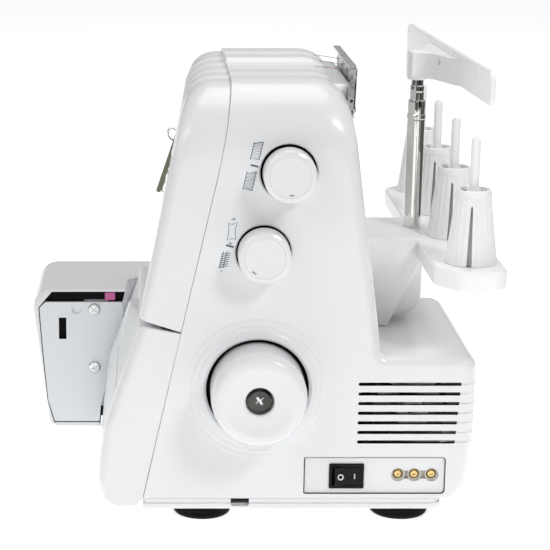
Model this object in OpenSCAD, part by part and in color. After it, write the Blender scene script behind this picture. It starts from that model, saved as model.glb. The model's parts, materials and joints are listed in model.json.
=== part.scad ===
// Overlock sewing machine with two needles, two loopers and four threads.
// Origin: middle of the footprint, at the table. +X right (handwheel), +Y back, +Z up. Millimetres.

/* [Housing] */
// Right side face of the housing
housing_right = 108; // [104:1:110]
// Left end of the head
head_left = -87; // [-90:1:-84]
// Left face of the pillar
pillar_left = -30; // [-31:1:-29]
// Height of the head
head_top = 265; // [262:1:268]
// Top of the motor housing behind the pillar
motor_top = 105; // [104:1:107]
// Back face of the motor housing
motor_back = 129; // [127:1:131]
// Underside of the head above the needle plate
head_under = 160; // [159:1:161]
// Bottom edge of the housing, where it meets the base
seam_z = 17; // [17:1:18]
// Thickness of the moulded walls
wall = 2.6; // [2.2:0.1:2.8]

/* [Bed] */
// Left end of the bed
bed_left = -132; // [-134:1:-130]
// Right end of the bed, at its end plate
bed_right = -44.2; // [-44.6:0.1:-44]
// Height of the sewing surface
bed_top = 106; // [105:0.5:106]
// Front-most corner of the bed
bed_front = -143.6; // [-146:0.2:-141]

/* [Handwheel and dials] */
// Handwheel shaft, distance from front to back
wheel_y = -0.5; // [-2:0.5:2]
// Handwheel shaft height
wheel_z = 86; // [84:1:88]
// Handwheel diameter
wheel_d = 56; // [54:0.5:58]
// Outer face of the handwheel
wheel_face = 133; // [130:0.5:134]
// Diameter of the two setting dials
dial_d = 30.5; // [29:0.5:31]
// Outer face of the setting dials
dial_face = 122.5; // [118:0.5:123]
// Stitch length dial, front to back
length_dial_y = 15.4; // [14:0.2:17]
// Stitch length dial, height
length_dial_z = 216; // [214:1:218]
// Differential feed dial, front to back
feed_dial_y = 1.7; // [0:0.1:3]
// Differential feed dial, height
feed_dial_z = 169; // [167:1:171]

/* [Thread stand] */
// Top face of the spool tray
tray_top = 160; // [158:1:162]
// Right end of the spool tray
tray_right = 119; // [117:1:121]
// Left end of the spool tray
tray_left = -133; // [-134:1:-131]
// Back edge of the spool tray
tray_back = 142.5; // [140:0.5:144]
// Height of the spool pins above the tray
pin_h = 74; // [60:1:80]
// Underside of the thread guide bar, pole pushed down
bar_z = 257; // [256:0.5:260]

/* [Sewing parts] */
// Needle centre line, left to right
needle_x = -56; // [-57:0.5:-55]
// Needle centre line at the needle plate, front to back
needle_y = -48; // [-49:0.5:-47]
// Lean of the needle bar
needle_lean = 15; // [13:0.5:17]

/* [Base] */
// Diameter of the rubber feet
foot_d = 35; // [30:1:38]
// Height of the rubber feet
foot_h = 10; // [8:0.5:10]

/* [Hidden] */
$fn = 48;

side_slack = 0.4;          // gap between neighbouring covers
run_fit = 0.05;            // radial clearance of a running fit
front_foot = [-57.5, 165];  // foot of the head's front face
front_slope = 0.184;       // backward slope of the head's front, per mm of rise
thread_x = [60, 33, 6, -21];
tension_y = -34.6;
tension_z = 201;
shaft_r = 5;
cup_floor = 102;           // floor of the round recesses in the side
frame_right = 66;          // frame walls, left faces, and their thickness
frame_mid = -14;
frame_t = 5;
motor_y = 95;
motor_z = 62;
pulley_x0 = 76;
pulley_x1 = 84;
main_pulley_r = 30;
motor_pulley_r = 8;
cover_pivot = [-74, 18];
cover_left = -35.5;
cover_right = housing_right - side_slack;
pole_x = 5;
bar_y = 119.5;             // middle of the guide bar's plate
bar_lean = 2.8;            // degrees
pole_y = 102.4;
pin_x = [94, 26, -42, -110];
pin_y = 124;
vent_count = 7;
vent_pitch = 6;
panel_y = [27.8, 112.3];
panel_z = [20.4, 43.8];
switch_y = 53.4;
switch_z = 31.5;
socket_y = [84.3, 94, 104.3];
socket_z = 32.2;
knife_pivot = [-20, 130];
looper_pivot = [-22, 44];
lifter_pivot = [40, 152];
feet_xy = [[81, -32], [81, 88.7], [-104, -32], [-104, 40]];

// ---- outlines ----

function unit(v) = v / norm(v);

// Points along one rounded corner b between its neighbours a and c; each corner is [u, v, radius].
function corner(a, b, c, steps) =
  b[2] == 0 ? [[b[0], b[1]]] :
  let (p = [b[0], b[1]],
       u = unit([a[0], a[1]] - p),
       v = unit([c[0], c[1]] - p),
       half = acos(u * v) / 2,
       mid = p + unit(u + v) * b[2] / sin(half),
       from = p + u * b[2] / tan(half) - mid,
       to = p + v * b[2] / tan(half) - mid,
       start = atan2(from[1], from[0]),
       turn = (atan2(to[1], to[0]) - start + 540) % 360 - 180)
  [for (k = [0:steps]) mid + b[2] * [cos(start + turn * k / steps), sin(start + turn * k / steps)]];

function rounded(c, steps = 5) =
  [for (i = [0:len(c) - 1]) each corner(c[(i + len(c) - 1) % len(c)], c[i], c[(i + 1) % len(c)], steps)];

// 2-D children drawn as (Y, Z) and run along X, as (X, Z) along Y, or as (X, Y) along Z.
module along_x(x0, x1) translate([x0, 0, 0]) rotate([90, 0, 90]) linear_extrude(x1 - x0) children();
module along_y(y0, y1) translate([0, y1, 0]) rotate([90, 0, 0]) linear_extrude(y1 - y0) children();
module along_z(z0, z1) translate([0, 0, z0]) linear_extrude(z1 - z0) children();

// Rod or hole along X, Y at a place.
module rod_x(x0, x1, y, z, r) translate([x0, y, z]) rotate([0, 90, 0]) cylinder(h = x1 - x0, r = r);
module rod_y(y0, y1, x, z, r) translate([x, y0, z]) rotate([-90, 0, 0]) cylinder(h = y1 - y0, r = r);
module box(lo, hi) translate(lo) cube(hi - lo);

// Local frame of the leaning needle bar: z runs up the bar from the needle plate's top face.
module leaning() translate([needle_x, needle_y, bed_top]) rotate([-needle_lean, 0, 0]) children();

// Line where the side housing meets the front covers, from the top down.
seam = [[-16.5, head_top], [-19.6, 242], [-23.9, 218], [-45.3, 122], [-68, seam_z]];

// The first count points of the seam as sharp corners, moved forward and kept under a height.
function seam_corners(count, forward, top) =
  [for (i = [0:count - 1]) [seam[i][0] - forward, min(seam[i][1], top), 0]];

module housing_side_outline() polygon(rounded(concat(seam_corners(5, 0, head_top),
  [[124, seam_z, 12], [motor_back, 58, 14], [motor_back, motor_top, 7], [72.8, motor_top, 5],
    [50.4, head_top, 22]])));

module housing_front_outline(right, top)
  polygon(rounded([[-200, 0, 0], [right, 0, 0], [right, top, 36], [-200, top, 0]], 7));

module housing_plan(inset) offset(delta = -inset)
  polygon(rounded([[-300, -200, 0], [housing_right, -200, 0], [housing_right, motor_back, 10],
    [pillar_left, motor_back, 8], [pillar_left, 72, 0], [-300, 72, 0]], 4));

module round_recess(y, z, r) difference() {
  rod_x(cup_floor - wall, housing_right - 1, y, z, r + wall);
  rod_x(cup_floor, housing_right + 1, y, z, r);
}

// ---- housing ----

module main_housing() color("white") difference() {
  union() {
    difference() {
      intersection() {
        along_x(pillar_left, housing_right) housing_side_outline();
        along_y(-200, 200) housing_front_outline(housing_right, head_top);
        along_z(0, 300) housing_plan(0);
      }
      intersection() {
        along_x(pillar_left + wall, housing_right - wall) union() {
          offset(delta = -wall) housing_side_outline();
          translate([-2 * wall, 0]) offset(delta = -wall) housing_side_outline();
          translate([-wall, -2 * wall]) square([118, 30]);
        }
        along_y(-200, 200) housing_front_outline(housing_right - wall, head_top - wall);
        along_z(-1, 300) housing_plan(wall);
      }
    }
    round_recess(wheel_y, wheel_z, 30.35);
    round_recess(length_dial_y, length_dial_z, 16.4);
    round_recess(feed_dial_y, feed_dial_z, 16);
  }
  rod_x(cup_floor, 120, wheel_y, wheel_z, 30.35);
  rod_x(90, 110, wheel_y, wheel_z, 7);
  rod_x(cup_floor, 120, length_dial_y, length_dial_z, 16.4);
  rod_x(90, 110, length_dial_y, length_dial_z, 3 + run_fit);
  rod_x(cup_floor, 120, feed_dial_y, feed_dial_z, 16);
  rod_x(90, 110, feed_dial_y, feed_dial_z, 3 + run_fit);
  // open underside, on the base tray
  box([pillar_left + wall, -90, 10], [housing_right - wall, 110, 22]);
  for (k = [0:vent_count - 1])
    box([100, 59, 52.5 + vent_pitch * k], [110, 117 + 0.4 * k, 54.1 + vent_pitch * k]);
  box([100, panel_y[0], panel_z[0]], [110, panel_y[1], panel_z[1]]);
  // openings in the pillar's left wall: into the head, for the loopers, for the frame and the knife shaft
  box([pillar_left - 1, -46, head_under + 4], [pillar_left + wall + 1, 46, 250]);
  box([pillar_left - 1, -90, 0], [pillar_left + wall + 1, -4, 116]);
  box([pillar_left - 1, -62, 0], [pillar_left + wall + 1, 60, 26]);
  rod_x(pillar_left - 1, pillar_left + wall + 1, knife_pivot[0], knife_pivot[1], 4.5);
  // seats of the spool stand and thread guide plate screws
  for (x = [-8, 28]) rod_y(50, 75, x, 152, 1.6);
  for (x = [-15, 66]) rod_y(40, 60, x, 244, 1.1);
}

module head_left_cover() color("white") difference() {
  union() {
    difference() {
      intersection() {
        along_x(head_left, pillar_left - side_slack) intersection() {
          housing_side_outline();
          translate([-100, head_under]) square([300, 200]);
        }
        along_y(-200, 200) head_end_outline(0);
      }
      intersection() {
        along_x(head_left + wall, pillar_left + 1) union() {
          offset(delta = -wall) intersection() {
            housing_side_outline();
            translate([-100, head_under]) square([300, 200]);
          }
          translate([-2 * wall, 0]) offset(delta = -wall) intersection() {
            housing_side_outline();
            translate([-100, head_under]) square([300, 200]);
          }
        }
        along_y(-200, 200) head_end_outline(wall);
      }
    }
    // ears of the presser foot lifter
    for (x = [-76, -60]) along_x(x, x + 4) polygon(rounded([[lifter_pivot[0] - 8, head_under + 1, 0],
      [lifter_pivot[0] - 6, lifter_pivot[1] - 6, 4], [lifter_pivot[0] + 6, lifter_pivot[1] - 6, 4],
      [lifter_pivot[0] + 8, head_under + 1, 0]], 3));
  }
  box([-72, -48, head_under - 5], [-40, 6, head_under + wall + 1]);
  box([-78, -37, head_under - 5], [-73.5, -15, head_under + wall + 1]);
  rod_x(-80, -50, lifter_pivot[0], lifter_pivot[1], 3 + run_fit);
}

module head_end_outline(inset) offset(delta = -inset)
  polygon(rounded([[head_left, head_under, 8], [200, head_under, 0], [200, head_top, 0],
    [head_left, head_top, 24]], 5));

module front_cover_outline() polygon(rounded(concat(seam_corners(4, side_slack, head_top - 2),
  [[-67, 125.5, 2], [front_foot[0], front_foot[1], 0],
    [front_foot[0] + front_slope * (head_top - 2 - front_foot[1]), head_top - 2, 18]])));

module front_cover_face(inset) offset(delta = -inset) polygon(rounded([[pillar_left, 110, 0],
  [housing_right, 110, 0], [housing_right, head_top - 2, 36], [head_left, head_top - 2, 24],
  [head_left, head_under, 6], [pillar_left, head_under, 0]], 6));

module head_front_cover() color("white") difference() {
  intersection() {
    along_x(head_left, housing_right) front_cover_outline();
    along_y(-200, 200) front_cover_face(0);
  }
  intersection() {
    along_x(head_left + wall, housing_right - wall) union() {
      offset(delta = -wall) front_cover_outline();
      translate([2 * wall, 0]) offset(delta = -wall) front_cover_outline();
    }
    along_y(-200, 200) front_cover_face(wall);
  }
  // thread slots over the head and windows for the tension dials
  for (x = thread_x) {
    box([x - 10.2, -80, 196], [x - 7.2, 0, 300]);
    box([x - 4, -80, 186], [x + 4, -30, 216]);
  }
  // room for the needle bar and presser bar
  box([-72, -58, head_under - 5], [-40, -30, head_under + wall + 1]);
}

module looper_cover_outline() polygon(rounded([[-56.9, 120.6, 0], [-66.6, 121.8, 2], [-89, 63, 0],
  [-94.6, 28, 0], [-91, 12, 7], [-78, 12, 0], [-80.6, seam_z, 0]]));

module looper_cover() color("white") difference() {
  union() {
    along_x(cover_left, cover_right) difference() {
      looper_cover_outline();
      offset(delta = -wall) looper_cover_outline();
      translate([2 * wall, -0.5]) offset(delta = -wall) looper_cover_outline();
    }
    for (x = [cover_left, cover_right - wall]) along_x(x, x + wall) looper_cover_outline();
    // the right end reaches back to the seam
    along_x(cover_right - wall, cover_right)
      polygon([[-60, 119.5], [-56.9, 120.6], [-46.1, 120.4], [-68.4, seam_z], [-73, 12], [-82, 12],
        [-82, 30]]);
    // hinge arms
    for (x = [0, 80]) along_x(x, x + 8) union() {
      polygon([[-79, 13.5], [-88, 14], [-88, 22], [-74, 21], [-72, 15]]);
      translate(cover_pivot) circle(r = 4.2);
    }
  }
  rod_x(-5, 95, cover_pivot[0], cover_pivot[1], 2 + run_fit);
  // shallow finger recess in the front
  box([-30, -100, 84], [-6, -79.5, 100]);
}

module cover_hinge_rod() color("silver") union() {
  rod_x(-26, 98, cover_pivot[0], cover_pivot[1], 2);
  // collars that carry the cover sideways
  for (x = [-3.2, 88.2]) rod_x(x, x + 3, cover_pivot[0], cover_pivot[1], 3.6);
}

// ---- bed ----

module bed_side_outline() polygon(rounded([[62, bed_top, 4], [bed_front, bed_top, 12], [-131.5, 10, 5],
  [-97.7, 10, 0], [-97.2, seam_z, 0], [62, seam_z, 0]]));

module bed_front_outline(inset) offset(delta = -inset)
  polygon(rounded([[bed_left, 0, 0], [100, 0, 0], [100, bed_top, 0], [bed_left, bed_top, 12]]));

module bed_shell() color("white") difference() {
  intersection() {
    along_x(bed_left, pillar_left - side_slack) bed_side_outline();
    along_y(-200, 200) bed_front_outline(0);
    along_z(0, 200) polygon([[bed_left, -200], [bed_right, -200], [bed_right, -12],
      [pillar_left - side_slack, -12], [pillar_left - side_slack, 100], [bed_left, 100]]);
  }
  intersection() {
    along_x(bed_left + 3, pillar_left) offset(delta = -3) bed_side_outline();
    along_y(-200, 200) bed_front_outline(3);
    along_z(0, 200) polygon([[bed_left, -200], [pillar_left, -200], [pillar_left, -14.8],
      [bed_right, -14.8], [bed_right, -9], [pillar_left - 3, -9], [pillar_left - 3, 100], [bed_left, 100]]);
  }
  // open underside, passage for the frame plate, and the needle plate's seat
  box([bed_left + 3, -94, 10], [bed_right + 1, 59, 21]);
  box([-60, -16, 10], [pillar_left + 1, 59, 26]);
  box([-84.2, -66, 95], [bed_right + 1, -14.2, bed_top + 1]);
}

module end_plate_outline() polygon([[-138, 93.6], [-135.8, 61.3], [-132.9, 28.5], [-128.6, 13.4],
  [-98.2, 13.4], [-97.1, 25], [-89.1, 55.3], [-82.9, 79], [-80.6, 97.8], [-134, 97.8]]);

module bed_end_plate() color("gainsboro") difference() {
  along_x(bed_right + 0.1, -42) end_plate_outline();
  for (z = [52.5, 93]) rod_x(-50, -40, -101.2, z, 2.2);
  rod_x(-43, -40, -112.9, 93, 3.5);
  box([-50, -125, 72], [-40, -120, 87]);
}

module bed_end_screws() color("silver") for (z = [52.5, 93]) difference() {
  union() {
    rod_x(-42, -40.4, -101.2, z, 4);
    rod_x(-52, -42, -101.2, z, 2);
  }
  box([-41.2, -101.7, z - 2.6], [-40, -100.7, z + 2.6]);
  box([-41.2, -103.8, z - 0.5], [-40, -98.6, z + 0.5]);
}

module bed_bracket() color("darkgray") difference() {
  union() {
    box([-60, -108, 24.05], [bed_right + 0.1, -92, 99]);
    box([-60, -108, 24.05], [bed_right + 0.1, -46, 30]);
  }
  for (z = [52.5, 93]) rod_x(-56, -40, -101.2, z, 2);
}

module needle_plate() color("silver") difference() {
  box([-84, -65.8, 103.2], [bed_right, -14.4, bed_top]);
  // feed slots, needle slot, chaining notch
  box([-71, -63, 100], [-63, -18, 110]);
  box([-52, -63, 100], [-46, -18, 110]);
  box([-60.5, -53, 100], [-51.5, -44, 110]);
  for (y = [-60, -20]) translate([-79.5, y, 100]) cylinder(h = 10, r = 1.6);
}

// ---- base, feet and frame ----

module tray_outline() polygon(rounded([[-126, -68, 6], [housing_right - 1, -68, 0],
  [housing_right - 1, 111, 8], [pillar_left - 4, 111, 6], [pillar_left - 4, 60, 0], [-126, 60, 6]], 4));

module base_tray() color("whitesmoke") difference() {
  union() {
    along_z(10, 13) tray_outline();
    along_z(10, seam_z) difference() {
      tray_outline();
      offset(delta = -2.6) tray_outline();
    }
    for (p = feet_xy) translate([p[0], p[1], 13]) cylinder(h = 7, r = 6);
    // ears that hold the cover's hinge rod
    for (x = [-20, 60]) along_x(x, x + 6) difference() {
      union() {
        translate(cover_pivot) circle(r = 4.2);
        polygon([[-73, 22], [-60, seam_z], [-60, 12], [-67.9, 12.6], [-71.2, 15.2]]);
      }
      translate(cover_pivot) circle(r = 2 + run_fit);
    }
  }
  // finger notch in the right edge
  box([104, -15, 12.5], [110, -5, 18]);
  for (p = feet_xy) translate([p[0], p[1], 9]) cylinder(h = 9, r = 2.5);
}

module rubber_feet() color("black") for (p = feet_xy) translate([p[0], p[1], 0]) rotate_extrude()
  polygon([[0, 0], [foot_d / 2, 0], [foot_d / 2, 2.2], [foot_d / 2 - 4, 5], [foot_d / 2 - 5, foot_h],
    [2.45, foot_h], [2.45, foot_h + 6], [0, foot_h + 6]]);

module frame_wall_outline() polygon(rounded([[-50, 22, 0], [46, 22, 0], [46, 206, 10], [-40, 206, 4],
  [-44.5, 165, 6], [-44.5, 116, 3], [-50, 110, 3]], 3));

module bar_block(s0, s1) translate([-10, -8, s0]) cube([20, 36, s1 - s0]);

module cast_frame() color("darkgray") difference() {
  union() {
    along_z(20, 24) polygon([[-122, -60], [86, -60], [86, 106], [-22, 106], [-22, 54], [-122, 54]]);
    for (x = [frame_right, frame_mid]) along_x(x, x + frame_t) frame_wall_outline();
    box([-65, 14, 186], [frame_right + 1, 44, 203]);
    // side webs and blocks of the needle bar
    for (x = [-65.6, -49.6]) along_x(x, x + 3.2)
      polygon([[-18, 173], [2, 171], [21, 184], [22, 202], [-8, 204]]);
    leaning() bar_block(69, 79);
    leaning() bar_block(94, 103);
    // bearing lugs of the lower looper, and the guide of the upper looper
    for (y = [-38, -12]) box([-29.5, y, 22], [-13, y + 7, 52]);
    for (z = [50, 66]) box([-24, -60, z], [-8, -48, z + 5]);
    box([-13.4, -51, 30], [-9.6, -47, 74]);
    // pillars under the needle plate
    for (y = [-64, -24]) box([-83, y, 23], [-77, y + 8, 103.1]);
  }
  rod_x(frame_mid - 1, frame_right + 10, wheel_y, wheel_z, 9);
  rod_x(frame_mid - 1, frame_right + 10, tension_y, tension_z, 2.5);
  rod_x(frame_mid - 1, frame_mid + 10, knife_pivot[0], knife_pivot[1], 4 + run_fit);
  leaning() translate([0, 0, 60]) cylinder(h = 60, r = 6);
  leaning() translate([0, 20, 60]) cylinder(h = 60, r = 6);
  for (y = [-40, -14]) rod_y(y, y + 12, looper_pivot[0], looper_pivot[1], 4 + run_fit);
  upper_looper_axis() translate([0, 0, -30]) cylinder(h = 60, r = 2.5 + run_fit);
  for (p = feet_xy) translate([p[0], p[1], 19]) cylinder(h = 6, r = 3);
}

module shaft_bushes() color("peru") for (x = [frame_right, frame_mid]) difference() {
  rod_x(x, x + frame_t, wheel_y, wheel_z, 9);
  rod_x(x - 1, x + frame_t + 1, wheel_y, wheel_z, shaft_r + run_fit);
}

module bar_bushes() color("peru") leaning() for (y = [0, 20]) for (s = [69, 94]) difference() {
  translate([0, y, s]) cylinder(h = 9, r = 6);
  translate([0, y, s - 1]) cylinder(h = 12, r = (y == 0 ? 3.5 : 4) + run_fit);
}

// ---- electrical panel ----

module side_panel() color("white") difference() {
  union() {
    box([104.6, panel_y[0] + 0.1, panel_z[0] + 0.1], [106.8, panel_y[1] - 0.1, panel_z[1] - 0.1]);
    box([102.6, panel_y[0] - 3, panel_z[0] + 0.1], [105.3, panel_y[1] + 3, panel_z[1] + 3]);
  }
  box([100, switch_y - 10, switch_z - 7.4], [110, switch_y + 10, switch_z + 7.4]);
  for (y = socket_y) rod_x(100, 110, y, socket_z, 4.2);
  box([100, socket_y[0], socket_z - 3], [110, socket_y[2], socket_z + 3]);
}

module switch_body() color("black") difference() {
  union() {
    box([86.5, switch_y - 9.9, switch_z - 7.3], [106.8, switch_y + 9.9, switch_z + 7.3]);
    box([106.8, switch_y - 10.4, switch_z - 7.8], [108, switch_y + 10.4, switch_z + 7.8]);
  }
  box([94, switch_y - 8.6, switch_z - 6], [110, switch_y + 8.6, switch_z + 6]);
  translate([103, switch_y, switch_z - 7]) cylinder(h = 14, r = 1.2 + run_fit);
}

// Rocker at rest pressed in at its back half; it turns about Z.
module switch_rocker() color("black") translate([103, switch_y, switch_z]) union() {
  rotate([0, 0, 7]) along_z(-5.8, 5.8) polygon([[-4, -3], [3.6, -8], [6.4, -7.9], [5, 0], [6.4, 7.9],
    [3.6, 8], [-4, 3]]);
  translate([0, 0, -6.8]) cylinder(h = 13.6, r = 1.2);
}

module socket_body() color("ivory") difference() {
  union() {
    for (y = socket_y) rod_x(91, 106.4, y, socket_z, 4.1);
    box([91, socket_y[0], socket_z - 2.9], [106.4, socket_y[2], socket_z + 2.9]);
  }
  for (y = socket_y) rod_x(95, 107, y, socket_z, 3.1);
}

module socket_pins() color("gold") for (y = socket_y) rod_x(95, 105, y, socket_z, 1.7);

// ---- handwheel, shaft and drive ----

// A turned piece: profile points are [x, r], about an axis along X.
module turned_x(y, z, profile) translate([0, y, z]) rotate([90, 0, 90]) rotate_extrude()
  polygon([for (p = profile) [p[1], p[0]]]);

module handwheel() color("white") turned_x(wheel_y, wheel_z, [[cup_floor + 1.4, shaft_r],
  [cup_floor + 0.8, wheel_d / 2 - 0.8], [cup_floor + 1.6, wheel_d / 2], [wheel_face - 6, wheel_d / 2],
  [wheel_face - 1.8, wheel_d / 2 - 1.8], [wheel_face, wheel_d / 2 - 5],
  [wheel_face, 22], [wheel_face - 2, 17], [wheel_face - 3.6, 8.6], [wheel_face - 5.5, 8.4],
  [wheel_face - 5.5, shaft_r]]);

module handwheel_screw() color("silver") difference() {
  rod_x(wheel_face - 5.5, wheel_face - 3, wheel_y, wheel_z, 8);
  box([wheel_face - 4.2, wheel_y - 4, wheel_z - 0.7], [wheel_face, wheel_y + 4, wheel_z + 0.7]);
  box([wheel_face - 4.2, wheel_y - 0.7, wheel_z - 4], [wheel_face, wheel_y + 0.7, wheel_z + 4]);
}

module main_shaft() color("silver") rod_x(-24, wheel_face - 5.5, wheel_y, wheel_z, shaft_r);

module shaft_eccentrics() color("dimgray") for (e = [[0, 4], [16, -4], [34, 4]]) difference() {
  rod_x(e[0], e[0] + 8, wheel_y, wheel_z + e[1], 12);
  rod_x(e[0] - 1, e[0] + 9, wheel_y, wheel_z, shaft_r);
}

module belt_pulley() color("silver") turned_x(wheel_y, wheel_z, [[pulley_x0 - 2, shaft_r],
  [pulley_x0 - 2, main_pulley_r + 2.4], [pulley_x0, main_pulley_r + 2.4], [pulley_x0, main_pulley_r],
  [pulley_x1, main_pulley_r], [pulley_x1, main_pulley_r + 2.4], [pulley_x1 + 2, main_pulley_r + 2.4],
  [pulley_x1 + 2, shaft_r]]);

module belt_loop(extra) hull() {
  translate([wheel_y, wheel_z]) circle(r = main_pulley_r + 0.4 + extra, $fn = 64);
  translate([motor_y, motor_z]) circle(r = motor_pulley_r + 0.2 + extra, $fn = 32);
}

module drive_belt() color("black") along_x(pulley_x0 + 0.6, pulley_x1 - 0.6) difference() {
  belt_loop(1.6);
  belt_loop(0);
}

module motor() color("dimgray") difference() {
  union() {
    rod_x(2, 64, motor_y, motor_z, 24);
    rod_x(-4, 2, motor_y, motor_z, 9);
    rod_x(64, 69, motor_y, motor_z, 8);
  }
  rod_x(-2, 70, motor_y, motor_z, 3 + run_fit);
}

module motor_shaft() color("silver") rod_x(0, 88, motor_y, motor_z, 3);

module motor_pulley() color("silver") turned_x(motor_y, motor_z, [[pulley_x0 - 1.5, 3],
  [pulley_x0 - 1.5, motor_pulley_r + 1.6], [pulley_x0, motor_pulley_r + 1.6], [pulley_x0, motor_pulley_r],
  [pulley_x1, motor_pulley_r], [pulley_x1, motor_pulley_r + 1.6], [pulley_x1 + 1.5, motor_pulley_r + 1.6],
  [pulley_x1 + 1.5, 3]]);

module motor_bracket() color("silver") difference() {
  union() {
    along_x(64, 67) polygon(rounded([[76, 24, 0], [114, 24, 0], [118, 60, 20], [106, 88, 12], [84, 88, 12],
      [72, 60, 20]], 3));
    box([44, 76, 24], [66, 104, 27]);
  }
  rod_x(60, 70, motor_y, motor_z, 8);
}

// ---- dials ----

module setting_dial(y, z) color("white") turned_x(y, z, [[88, 0], [88, 3], [cup_floor + 0.6, 3],
  [cup_floor + 0.6, 13.2], [109, 13.2], [109, dial_d / 2 - 0.8], [110, dial_d / 2],
  [dial_face - 1.4, dial_d / 2 - 0.2], [dial_face, dial_d / 2 - 1.6], [dial_face, 12],
  [dial_face - 0.8, 11.4], [dial_face - 0.8, 0]]);

module stitch_length_dial() setting_dial(length_dial_y, length_dial_z);
module differential_feed_dial() setting_dial(feed_dial_y, feed_dial_z);

module tension_dial(x) color("gainsboro") difference() {
  rod_x(x - 3.5, x + 3.5, tension_y, tension_z, 15.5);
  rod_x(x - 5, x + 5, tension_y, tension_z, 2.5 + run_fit);
  for (a = [0:20:340]) translate([0, tension_y, tension_z]) rotate([a, 0, 0])
    rod_x(x - 4, x + 4, 16, 0, 1.2);
}

module tension_dial_1() tension_dial(thread_x[3]);
module tension_dial_2() tension_dial(thread_x[2]);
module tension_dial_3() tension_dial(thread_x[1]);
module tension_dial_4() tension_dial(thread_x[0]);

module tension_rod() color("silver") rod_x(-34, 72, tension_y, tension_z, 2.5);

module tension_discs() color("silver") for (x = thread_x) for (d = [8.0, 9.2]) difference() {
  rod_x(x - d, x - d + 0.8, tension_y, tension_z, 9);
  rod_x(x - d - 1, x - d + 2, tension_y, tension_z, 2.5);
}

// ---- needle, foot, loopers, knives and feed ----

module needle_bar() color("silver") leaning() translate([0, 0, 46]) cylinder(h = 88, r = 3.5);

module needle_clamp() color("silver") leaning() difference() {
  union() {
    translate([-6, -4.5, 38]) cube([12, 8.5, 8]);
    translate([-9, 0, 42]) rotate([0, 90, 0]) cylinder(h = 4, r = 2.2);
  }
  for (x = [-2.5, 2.5]) translate([x, 0, 37]) cylinder(h = 8, r = 1);
}

module needles() color("silver") leaning() for (x = [-2.5, 2.5]) translate([x, 0, 8]) union() {
  translate([0, 0, 27]) cylinder(h = 10, r = 1);
  translate([0, 0, 3]) cylinder(h = 25, r = 0.5);
  cylinder(h = 3, r1 = 0.12, r2 = 0.5, $fn = 24);
}

module presser_bar() color("silver") leaning() translate([0, 20, 14]) cylinder(h = 104, r = 4);

module presser_foot() color("silver") difference() {
  union() {
    box([-66, -74, 106.9], [-47, -30, 108.6]);
    box([-60, -36, 108.6], [-52, -26.2, 113.5]);
    leaning() translate([-4.5, 15.5, 9.2]) cube([9, 9, 4.8]);
  }
  box([-60, -62, 106], [-52, -42, 110]);
  for (x = [-64.5, -50]) box([x, -66, 106], [x + 1, -60, 110]);
}

module presser_spring() color("gray") leaning() difference() {
  translate([0, 20, 79.2]) cylinder(h = 14.6, r = 6.2);
  translate([0, 20, 78]) cylinder(h = 18, r = 4.6);
}

module presser_lifter() color("white") union() {
  rod_x(-76, -56, lifter_pivot[0], lifter_pivot[1], 3);
  along_x(-71.4, -60.6) union() {
    translate(lifter_pivot) circle(r = 5.4);
    translate(lifter_pivot) rotate(-52) translate([0, -4]) square([34, 8]);
  }
}

// Local frame of the upper looper's slanted rod, in the XZ plane.
module upper_looper_axis() translate([-15, -54, 60]) rotate([0, -17.5, 0]) children();

module upper_looper() color("silver") union() {
  upper_looper_axis() translate([0, 0, -20]) cylinder(h = 44, r = 2.5);
  along_y(-56, -52) polygon([[-25, 82], [-20, 82], [-21, 88], [-27, 97], [-30, 97.5], [-27, 90]]);
}

module lower_looper() color("silver") union() {
  rod_y(-48, 0, looper_pivot[0], looper_pivot[1], 4);
  along_y(-47, -43.5) polygon([[-25, 40], [-18, 40], [-19, 50], [-24, 72], [-28, 86], [-46, 92.4],
    [-48, 92.5], [-46, 90], [-31, 82], [-29, 72], [-27, 52]]);
}

module upper_knife() color("silver") union() {
  along_x(-41, -37) difference() {
    union() {
      translate(knife_pivot) circle(r = 8);
      polygon([[-20, 122], [-54, 118], [-54, 104], [-62, 103], [-62, 126], [-22, 138]]);
    }
    translate(knife_pivot) circle(r = 3);
  }
  rod_x(-41, -4, knife_pivot[0], knife_pivot[1], 4);
}

// Fixed knife and its bracket at the right end of the needle plate.
module lower_knife() color("slategray") union() {
  along_x(-41.9, -40.4)
    polygon([[-82.5, 97], [-78.6, 113.6], [-73.8, 114], [-72.2, 98], [-77.5, 81], [-80.6, 80.5]]);
  box([-43.2, -76, 98.5], [-41.9, -52, 105.6]);
}

module feed_dog() color("dimgray") union() {
  for (x = [[-70, -64], [-51, -47]]) {
    box([x[0], -58, 94], [x[1], -24, 105.4]);
    for (k = [0:8]) along_x(x[0], x[1]) translate([-57 + 3.6 * k, 105.4])
      polygon([[0, -0.5], [2.6, -0.5], [2.2, 1.2]]);
  }
  box([-70, -40, 94], [-47, -28, 99]);
  box([-62, -30, 90], [-56, 30, 96]);
}

module sewing_lamp() color("lightyellow") union() {
  box([-79, -38, head_under + wall + 0.05], [-72.5, -14, head_under + 8]);
  box([-77.7, -36.7, head_under - 0.5], [-73.8, -15.3, head_under + wall + 0.1]);
}

// ---- thread guides ----

module thread_guide_plate() color("silver") difference() {
  union() {
    along_x(-25, 76) polygon([[54.3, 241], [55.5, 241], [56.5, 272], [55.3, 272]]);
    // feet screwed to the head's back
    for (x = [-18, 63]) along_x(x, x + 6) polygon([[54, 241], [54.8, 241], [54.8, 246], [53.3, 246]]);
  }
  for (x = thread_x) for (z = [254, 264]) rod_y(50, 60, x, z, 1.6);
  for (x = [-15, 66]) rod_y(50, 60, x, 244, 1.3);
}

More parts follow.
